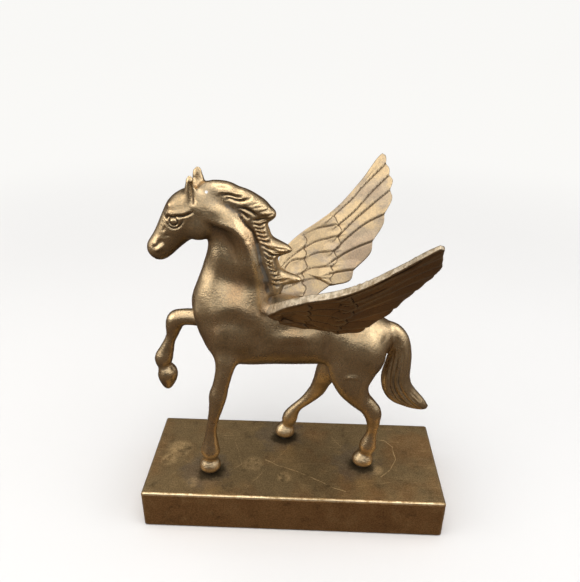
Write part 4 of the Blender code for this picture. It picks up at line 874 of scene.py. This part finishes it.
def cast_brass(name, colour, patina, wing=False):
    """Satin antique brass: worn high spots, dark patina with painted shade in the hollows, painted shade on downward
    faces, sandy casting grain and tarnish; on wings also painted shade over the outer faces.
    """
    finish = Finish(name)
    cloud = finish.noise(70, 3)
    grain = finish.noise(1900, 2)
    speck = finish.noise(520, 4, roughness=0.7)
    tarnish = finish.noise(160, 4, roughness=0.62)
    hollow = finish.ramp(finish.pattern("hollow") + (speck - 0.5) * 0.8, 0.25, 1.7)
    valley = finish.ramp(finish.pattern("valley"), 0.05, 0.9)
    worn = finish.ramp(finish.pattern("hollow") * -1.0 + (speck - 0.5) * 0.5, 0.25, 1.5)
    dark = tuple(channel * 0.35 for channel in patina) + (1,)
    red = (colour[0] * 0.78, colour[1] * 0.55, colour[2] * 0.42, 1)
    pale = tuple(min(1.0, channel * 1.28) for channel in colour[:3]) + (1,)
    tone = finish.mix(finish.ramp(cloud, 0.55, 0.75) * 0.4, (*colour, 1), red)
    tone = finish.mix(valley * 0.5, tone, red)
    tone = finish.mix(finish.ramp(tarnish, 0.5, 0.75) * 0.4, tone, (*patina, 1))
    tone = finish.mix(worn * 0.45, tone, pale)
    rough = 0.29 + (tarnish - 0.5) * 0.2 + hollow * 0.25 - worn * 0.06
    if wing:
        grey = tuple(channel * factor for channel, factor in zip(colour, (0.62, 0.70, 0.98))) + (1,)
        patches = finish.ramp(tarnish + (cloud - 0.5) * 0.8, 0.42, 0.62)
        tone = finish.mix(patches * 0.5, tone, grey)
        # Patina in the feather grooves, partly painted shade
        tone = finish.mix(hollow * 0.75, tone, (*patina, 1))
        # Painted shade over the outer faces, left lighter on the ridges as a painted highlight
        outer = finish.pattern("outer")
        brown = (patina[0] * 2.5, patina[1] * 2.2, patina[2] * 2.1, 1)
        ridge = finish.ramp(finish.pattern("hollow") * -1.0 + (speck - 0.5) * 0.3, 0.0, 0.5)
        tone = finish.mix(outer * (0.85 - ridge * 0.6), tone, brown)
        # Painted shade in the grooves of the outer faces
        groove = finish.ramp(finish.pattern("hollow") + (speck - 0.5) * 0.3, 0.05, 0.6)
        tone = finish.mix(outer * groove * 0.9, tone, dark)
        edge = finish.pattern("edge")
        tone = finish.mix(edge * 0.75, tone, finish.mix(finish.ramp(speck, 0.35, 0.65), (0.34, 0.27, 0.17, 1), (0.86, 0.76, 0.58, 1)))
        rough = rough + 0.14 + edge * 0.12
        metallic = 1.0 - hollow * 0.5 - edge * 0.45
    else:
        # Dark patina in the hollows and carved lines, deepened as painted shade
        tone = finish.mix(hollow * 0.92, tone, dark)
        # Painted shade: faces turning downwards darkened towards deep brown
        tone = finish.mix(finish.pattern("under") * 0.85, tone, (0.10, 0.078, 0.05, 1))
        residue = None
        for place, radius in RESIDUE:
            patch = near(finish, place, radius, tarnish)
            residue = patch if residue is None else finish.maths("MAXIMUM", residue, patch)
        seam = finish.ramp(finish.pattern("hollow") + (speck - 0.5) * 1.6, 0.1, 1.2)
        residue = residue * (0.3 + seam * 0.4)
        tone = finish.mix(residue, tone, (0.21, 0.19, 0.155, 1))
        tone = finish.mix(near(finish, FLECK, 0.0006, speck), tone, (0.85, 0.87, 0.88, 1))
        rough = rough + residue * 0.3
        metallic = 1.0 - hollow * 0.5 - residue * 0.3
    pits = finish.ramp(speck, 0.7, 0.78)
    tone = finish.mix(pits * 0.45, tone, dark)
    tone = finish.mix(0.3, tone, finish.mix(finish.ramp(grain, 0.35, 0.65), dark, pale), "MULTIPLY")
    normal = finish.bump(grain, 0.7, 0.00014)
    normal = finish.bump(speck, 0.45, 0.00016, normal)
    return finish.done(Base_Color=tone, Metallic=metallic, Roughness=rough, Normal=normal)


# Lines scratched into the plinth's top and pale rubbed places on it, in the figure's millimetres
LONG_SCRATCHES = (((-11.5, -4.3), (2.0, -11.1), (18.2, -20.5)),
                  ((31.5, 7.6), (36.4, 7.2), (39.4, 3.4), (39.6, -3.6), (36.4, -9.4), (32.4, -13.0)))
FAINT_SCRATCHES = (((-27.3, -12.8), (-12.8, 0.1)), ((-20.6, -22.6), (-2.5, 2.5)), ((8.9, -9.0), (23.6, -14.1)),
                   ((14.7, 9.1), (21.9, -1.4)), ((-24.0, 6.0), (-19.6, -9.0)), ((22.1, -18.1), (36.1, -15.5)),
                   ((-49.0, -15.0), (-38.0, -4.0)), ((-40.0, -20.0), (-37.6, -13.0)), ((-14.0, -14.0), (-9.0, -3.0)))
RUBBED = (((-45.4, 2.0, 0), 0.0062), ((-48.5, -4.0, 0), 0.0042), ((-4.0, -13.4, 0), 0.0034),
          ((-16.0, -6.5, 0), 0.0048), ((-37.0, -16.0, 0), 0.0038), ((31.0, -9.5, 0), 0.0036))


def scratched(finish, lines, width, ragged):
    """1 along fine, slightly wavering lines on the plinth's top."""
    x, y, z = finish.axes()
    waver = finish.noise(120, 2) - 0.5
    x, y = x + waver * 0.0014, y + waver * 0.0014
    nearest = None
    for line in lines:
        places = [FIGURE @ Vector((*point, 0)) for point in line]
        for start, end in zip(places, places[1:]):
            run = end - start
            share = finish.maths("MULTIPLY", (x - start.x) * run.x + (y - start.y) * run.y,
                                 1 / run.length_squared, clamp=True)
            away = (x - start.x - share * run.x) ** 2 + (y - start.y - share * run.y) ** 2
            nearest = away if nearest is None else finish.maths("MINIMUM", nearest, away)
    return finish.ramp(nearest ** 0.5 + (ragged - 0.5) * width, width, width * 0.35)


def plinth_finish(colour, edge):
    """Aged brass block: olive top with scratches and dark rings, redder sides, worn bright edges with a painted
    highlight along the top front edge.
    """
    finish = Finish("plinth_aged_brass")
    x, y, z = finish.axes()
    cloud, mottle = finish.noise(45, 4, roughness=0.6), finish.noise(210, 6, roughness=0.7)
    speck, grain = finish.noise(620, 3, roughness=0.6), finish.noise(2200, 2)
    top = finish.ramp(z, PLINTH_HIGH.z - 0.0006, PLINTH_HIGH.z - 0.0002)
    dark, pale = tuple(c * 0.3 for c in colour) + (1,), tuple(c * 1.9 for c in colour) + (1,)
    red = (colour[0] * 1.0, colour[1] * 0.72, colour[2] * 0.55, 1)
    side = (colour[0] * 1.5, colour[1] * 1.2, colour[2] * 1.02, 1)
    tone = finish.mix(top, side, (*colour, 1))
    tone = finish.mix(finish.ramp(cloud, 0.45, 0.68) * 0.55, tone, red)
    tone = finish.mix(finish.ramp(mottle, 0.45, 0.3) * 0.5, tone, dark)
    tone = finish.mix(finish.ramp(mottle, 0.5, 0.75) * 0.3, tone, pale)
    rubbed = None
    for place, radius in RUBBED:
        patch = near(finish, place, radius, mottle)
        rubbed = patch if rubbed is None else finish.maths("MAXIMUM", rubbed, patch)
    rubbed = rubbed * top * finish.ramp(mottle, 0.38, 0.6)
    tone = finish.mix(rubbed * 0.75, tone, tuple(c * 2.3 for c in colour) + (1,))
    streaks = None
    for turn in (0.5, -0.9, 1.3):
        where = finish.node("ShaderNodeMapping", None, {"Vector": finish.place, "Rotation": (0, 0, turn),
                                                        "Scale": (1, 14, 1)}, output="Vector")
        streak = finish.ramp(finish.noise(95, 2, where), 0.66, 0.74)
        streaks = streak if streaks is None else finish.maths("MAXIMUM", streaks, streak)
    fine = scratched(finish, LONG_SCRATCHES, 0.00024, speck) * finish.ramp(mottle, 0.35, 0.55)
    faint = scratched(finish, FAINT_SCRATCHES, 0.00016, speck) * finish.ramp(mottle, 0.42, 0.58)
    fine = finish.maths("MAXIMUM", fine * 0.75, faint * 0.35)
    fine = finish.maths("MAXIMUM", fine * top, streaks * 0.18)
    tone = finish.mix(fine, tone, tuple(c * 2.6 for c in colour) + (1,))
    # Dark discs round each hoof's place, and wider, fainter dark patches just beside them
    rings, dark_patches = None, None
    for foot in (NEAR_FORE_FOOT, NEAR_HIND_FOOT, FAR_HIND_FOOT):
        ring = near(finish, (*foot, 0), 0.0066, mottle)
        rings = ring if rings is None else finish.maths("MAXIMUM", rings, ring)
        dark_patch = near(finish, (foot[0] - 2, foot[1] + 0.5, 0), 0.0115, mottle)
        dark_patches = dark_patch if dark_patches is None else finish.maths("MAXIMUM", dark_patches, dark_patch)
    tone = finish.mix(dark_patches * top * 0.4, tone, (0.20, 0.165, 0.125, 1))
    tone = finish.mix(rings * top * 0.85, tone, tuple(c * 0.2 for c in colour) + (1,))
    tone = finish.mix(finish.ramp(speck, 0.68, 0.74) * 0.6, tone, dark)
    tone = finish.mix(0.35, tone, finish.mix(finish.ramp(grain, 0.35, 0.65), dark, (1, 1, 1, 1)), "MULTIPLY")
    front, ends = y - PLINTH_LOW.y, PLINTH_HIGH.x - finish.maths("ABSOLUTE", x)
    back, height = PLINTH_HIGH.y - y, PLINTH_HIGH.z - z
    ragged = (mottle - 0.5) * 0.0009 + (speck - 0.5) * 0.0006
    # Worn bright metal along the edges: strongest on the top front edge, where it is also a painted highlight,
    # fainter on the others
    top_front_wear_and_highlight = finish.ramp(front + height + ragged, 0.0009, 0.0005)
    others = finish.maths("MINIMUM", ends + finish.maths("MINIMUM", front, height), back + height)
    others = finish.ramp(finish.maths("MINIMUM", others, front + z) + ragged, 0.0012, 0.0005)
    worn = finish.maths("MAXIMUM", top_front_wear_and_highlight, others * 0.35)
    chipped = finish.ramp(mottle + (speck - 0.5) * 0.4, 0.36, 0.28)
    worn = worn * (1.0 - chipped * 0.9)
    tone = finish.mix(worn * 0.9, tone, (*edge, 1))
    rough = 0.46 + (cloud - 0.5) * 0.25 - worn * 0.14 + (mottle - 0.5) * 0.3 + rings * top * 0.2
    normal = finish.bump(mottle, 0.3, 0.0002)
    normal = finish.bump(fine * -1.0 + grain * 0.5, 0.4, 0.0001, normal)
    return finish.done(Base_Color=tone, Metallic=0.94, Roughness=rough, Normal=normal)


def steel_finish():
    """Turned steel of the screws, with a little brown in it."""
    finish = Finish("screw_turned_steel")
    cloud = finish.noise(900, 3)
    tone = finish.mix(finish.ramp(cloud, 0.45, 0.7) * 0.6, (0.56, 0.55, 0.53, 1), (0.3, 0.24, 0.18, 1))
    return finish.done(Base_Color=tone, Metallic=1.0, Roughness=0.28 + cloud * 0.2,
                       Normal=finish.bump(finish.noise(3000, 2), 0.3, 0.00005))


def floor_finish(seen, mirrored):
    """Matt floor, pale to the camera and fading into the backdrop, brown in the brass."""
    finish = Finish("pale_floor")
    camera = finish.node("ShaderNodeLightPath", output="Is Camera Ray")
    pale = finish.mix(finish.noise(6, 2), tuple(c * 0.96 for c in seen) + (1,), (*seen, 1))
    tone = finish.mix(camera, (*mirrored, 1), pale)
    x, y, z = finish.axes()
    far = finish.ramp((x ** 2 + y ** 2) ** 0.5, 0.12, 0.6)
    glow = finish.mix(far * camera, (0, 0, 0, 1), tuple(min(1.0, c * 1.4) for c in seen) + (1,))
    tone = finish.mix(far * camera, tone, (0, 0, 0, 1))
    return finish.done(Base_Color=tone, Roughness=0.85, Emission_Color=glow, Emission_Strength=1.0)


# Settings, operators and panel

class FigurineSettings(bpy.types.PropertyGroup):
    skin_voxel: FloatProperty(
        name="Horse skin", description="Fineness of the horse's cast skin, in millimetres",
        default=0.62, min=0.4, max=1.5)
    wing_voxel: FloatProperty(
        name="Wing skin", description="Fineness of the wings' cast skin, in millimetres",
        default=0.3, min=0.2, max=1.0)
    relief: FloatProperty(
        name="Relief", description="Depth of the carved hair, feathers and face, 1 as cast",
        default=1.0, min=0.0, max=2.0, subtype="FACTOR")
    strand_radius: FloatProperty(
        name="Strand radius", description="Thickest half width of a raised strand of hair",
        default=0.32 * MM, min=0.0, unit="LENGTH")
    brass: FloatVectorProperty(
        name="Brass", description="Clean brass of the casting", subtype="COLOR", size=3,
        default=(0.62, 0.475, 0.285), min=0, max=1)
    patina: FloatVectorProperty(
        name="Patina", description="Brown of the untouched hollows", subtype="COLOR", size=3,
        default=(0.13, 0.085, 0.04), min=0, max=1)
    plinth_brass: FloatVectorProperty(
        name="Plinth brass", description="Aged brass of the plinth's top", subtype="COLOR", size=3,
        default=(0.30, 0.205, 0.095), min=0, max=1)
    # Worn metal on the plinth's edges, also its painted highlight along the top front edge
    edge_wear_and_highlight: FloatVectorProperty(
        name="Worn and highlighted edge", description="Bright metal on the plinth's edges", subtype="COLOR", size=3,
        default=(0.66, 0.52, 0.32), min=0, max=1)
    light_power: FloatProperty(
        name="Overhead light", description="Power of the soft light over the figure",
        default=1.7, min=0, unit="POWER")
    floor_seen: FloatVectorProperty(
        name="Floor", description="The floor as the camera sees it", subtype="COLOR", size=3,
        default=(0.66, 0.655, 0.64), min=0, max=1)
    floor_mirrored: FloatVectorProperty(
        name="Floor in the brass", description="The floor as the brass reflects it",
        subtype="COLOR", size=3, default=(0.075, 0.052, 0.034), min=0, max=1)


def settings():
    return bpy.context.scene.figurine


class FIGURINE_OT_horse(bpy.types.Operator):
    """Cast the horse: fused forms with carved mane, tail, face and muscles"""
    bl_idname = "figurine.horse"
    bl_label = "Cast horse"

    def execute(self, context):
        chosen = settings()
        mesh = bmesh.new()
        body_forms(mesh)
        neck_and_head(mesh)
        mane(mesh)
        legs(mesh)
        loft(mesh, TAIL)
        data = fused(mesh, "horse", chosen.skin_voxel, 1)
        blend_forms(data)
        refine(data, fine_regions)
        carve_horse(data, chosen.relief)
        brass = cast_brass("cast_antique_brass", chosen.brass, chosen.patina)
        horse = finish_skin(data, "horse_casting", FIGURE, brass)
        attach(horse, "root")
        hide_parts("horse")
        combs = [between(first, second) for first, second in zip(MANE_COMB, MANE_COMB[1:])]
        tails = [between(first, second) for first, second in zip(TAIL_LINES, TAIL_LINES[1:])]
        hair = strands("hair_ridges", combs + tails, chosen.strand_radius, horse, brass)
        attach(hair, "root")
        return {"FINISHED"}


class FIGURINE_OT_wings(bpy.types.Operator):
    """Cast both wings with their feathers"""
    bl_idname = "figurine.wings"
    bl_label = "Cast wings"

    def execute(self, context):
        chosen = settings()
        # The wings take the horse's brass painted darker, as painted shade
        tone = tuple(channel * 0.72 for channel in chosen.brass)
        brass = cast_brass("wing_brass_painted_darker", tone, chosen.patina, wing=True)
        for name, side in (("left_wing", -1), ("right_wing", 1)):
            data = wing_skin(side, chosen.wing_voxel, chosen.relief)
            wing = finish_skin(data, name + "_casting", FIGURE, brass)
            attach(wing, "root")
            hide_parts(name)
        return {"FINISHED"}


class FIGURINE_OT_plinth(bpy.types.Operator):
    """Give the plinth its aged, scratched brass"""
    bl_idname = "figurine.plinth"
    bl_label = "Finish plinth"

    def execute(self, context):
        chosen = settings()
        finish = plinth_finish(chosen.plinth_brass, chosen.edge_wear_and_highlight)
        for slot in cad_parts["plinth"].material_slots:
            slot.material = finish
        return {"FINISHED"}


class FIGURINE_OT_screws(bpy.types.Operator):
    """Give the hoof screws their steel"""
    bl_idname = "figurine.screws"
    bl_label = "Finish screws"

    def execute(self, context):
        steel = steel_finish()
        for name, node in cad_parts.items():
            if name.endswith("_hoof_screw"):
                for slot in node.material_slots:
                    slot.material = steel
        return {"FINISHED"}


class FIGURINE_OT_stage(bpy.types.Operator):
    """Set the pale floor, the soft lights and the camera"""
    bl_idname = "figurine.stage"
    bl_label = "Set stage"

    def execute(self, context):
        scene = bpy.context.scene
        mesh = bmesh.new()
        rows = [(-2.0, 0.0), (1.2, 0.0), (1.5, 0.03), (1.75, 0.15), (1.9, 0.4), (1.95, 2.0)]
        sweep = [[mesh.verts.new((x, y, z)) for y, z in rows] for x in (-3.0, 3.0)]
        for left, right, after_left, after_right in zip(*sweep, sweep[0][1:], sweep[1][1:]):
            mesh.faces.new((left, right, after_right, after_left))
        data = bpy.data.meshes.new("floor")
        mesh.to_mesh(data)
        mesh.free()
        data.shade_smooth()
        data.materials.append(floor_finish(settings().floor_seen, settings().floor_mirrored))
        floor = bpy.data.objects.new("floor", data)
        scene.collection.objects.link(floor)
        power = settings().light_power
        self.light("overhead", (0.0, -0.05, 0.6), 0.5, power, (1.0, 0.98, 0.95))
        self.light("left", (-0.5, -0.15, 0.3), 0.35, power * 0.5, (1.0, 0.97, 0.93))
        self.light("right", (0.5, -0.1, 0.35), 0.3, power * 0.4, (0.96, 0.98, 1.0))
        self.world()
        scene.view_settings.view_transform = "Standard"
        self.camera()
        return {"FINISHED"}

    def world(self):
        """A room with its windows behind the camera and a dimmer wall beyond the figure."""
        world = bpy.data.worlds.new("studio")
        bpy.context.scene.world = world
        world.use_nodes = True
        tree = world.node_tree
        where = tree.nodes.new("ShaderNodeTexCoord").outputs["Generated"]

        def slope(direction, low, high, least, most):
            """A value that grows from least to most as the view turns towards a direction."""
            turn = tree.nodes.new("ShaderNodeVectorMath")
            turn.operation = "DOT_PRODUCT"
            turn.inputs[1].default_value = direction
            tree.links.new(where, turn.inputs[0])
            span = tree.nodes.new("ShaderNodeMapRange")
            span.interpolation_type = "SMOOTHSTEP"
            for name, value in zip(("From Min", "From Max", "To Min", "To Max"), (low, high, least, most)):
                span.inputs[name].default_value = value
            tree.links.new(turn.outputs["Value"], span.inputs["Value"])
            return span.outputs["Result"]

        def times(first, second):
            product = tree.nodes.new("ShaderNodeMath")
            product.operation = "MULTIPLY"
            tree.links.new(first, product.inputs[0])
            tree.links.new(second, product.inputs[1])
            return product.outputs["Value"]

        def larger(first, second):
            most = tree.nodes.new("ShaderNodeMath")
            most.operation = "MAXIMUM"
            tree.links.new(first, most.inputs[0])
            tree.links.new(second, most.inputs[1])
            return most.outputs["Value"]

        room = slope((0, -1, 0.35), -1.0, 1.0, 0.55, 1.75)
        figure = larger(slope((0, 1, 0), -0.92, -0.7, 0.03, 1.0), slope((0, 0, 1), 0.06, 0.36, 0.03, 1.0))
        seen = tree.nodes.new("ShaderNodeLightPath").outputs["Is Camera Ray"]
        tree.links.new(larger(times(room, figure), times(seen, room)),
                       tree.nodes["Background"].inputs["Strength"])
        tree.nodes["Background"].inputs["Color"].default_value = (0.80, 0.80, 0.82, 1)

    def light(self, name, place, size, power, colour):
        """A square soft light aimed at the figure."""
        lamp = bpy.data.lights.new(name, "AREA")
        lamp.size, lamp.energy, lamp.color = size, power, colour
        thing = bpy.data.objects.new(name, lamp)
        bpy.context.scene.collection.objects.link(thing)
        thing.location = place
        aim = Vector((0, 0, 0.07)) - Vector(place)
        thing.rotation_euler = aim.to_track_quat("-Z", "Y").to_euler()

    def camera(self):
        """The photograph's own viewpoint."""
        turn = (Matrix.Rotation(radians(0.6943), 3, "Y") @ Matrix.Rotation(radians(26.7398), 3, "X")
                @ Matrix.Rotation(radians(-1.8216), 3, "Z"))
        lens = bpy.data.cameras.new("camera")
        lens.lens, lens.sensor_width, lens.clip_start = 35.69, 36.0, 0.01
        camera = bpy.data.objects.new("camera", lens)
        bpy.context.scene.collection.objects.link(camera)
        axes = Matrix((turn[0], turn[2], -turn[1])).transposed().to_4x4()
        camera.matrix_world = Matrix.Translation((0.0030715, -0.1724796, 0.1755533)) @ axes
        bpy.context.scene.camera = camera


class FIGURINE_PT_panel(bpy.types.Panel):
    """Sizes, colours and steps of the figurine"""
    bl_idname = "FIGURINE_PT_panel"
    bl_label = "Pegasus Figurine"
    bl_space_type = "VIEW_3D"
    bl_region_type = "UI"
    bl_category = "Figurine"

    def draw(self, context):
        chosen = context.scene.figurine
        for name in FigurineSettings.__annotations__:
            self.layout.prop(chosen, name)
        for step in STEPS:
            self.layout.operator(step.bl_idname)


STEPS = (FIGURINE_OT_horse, FIGURINE_OT_wings, FIGURINE_OT_plinth, FIGURINE_OT_screws,
         FIGURINE_OT_stage)
CLASSES = (FigurineSettings, *STEPS, FIGURINE_PT_panel)


def register():
    for item in CLASSES:
        bpy.utils.register_class(item)
    bpy.types.Scene.figurine = PointerProperty(type=FigurineSettings)


def unregister():
    del bpy.types.Scene.figurine
    for item in reversed(CLASSES):
        bpy.utils.unregister_class(item)


def main():
    register()
    bpy.ops.figurine.horse()
    bpy.ops.figurine.wings()
    bpy.ops.figurine.plinth()
    bpy.ops.figurine.screws()
    bpy.ops.figurine.stage()


if __name__ == "__main__":
    main()
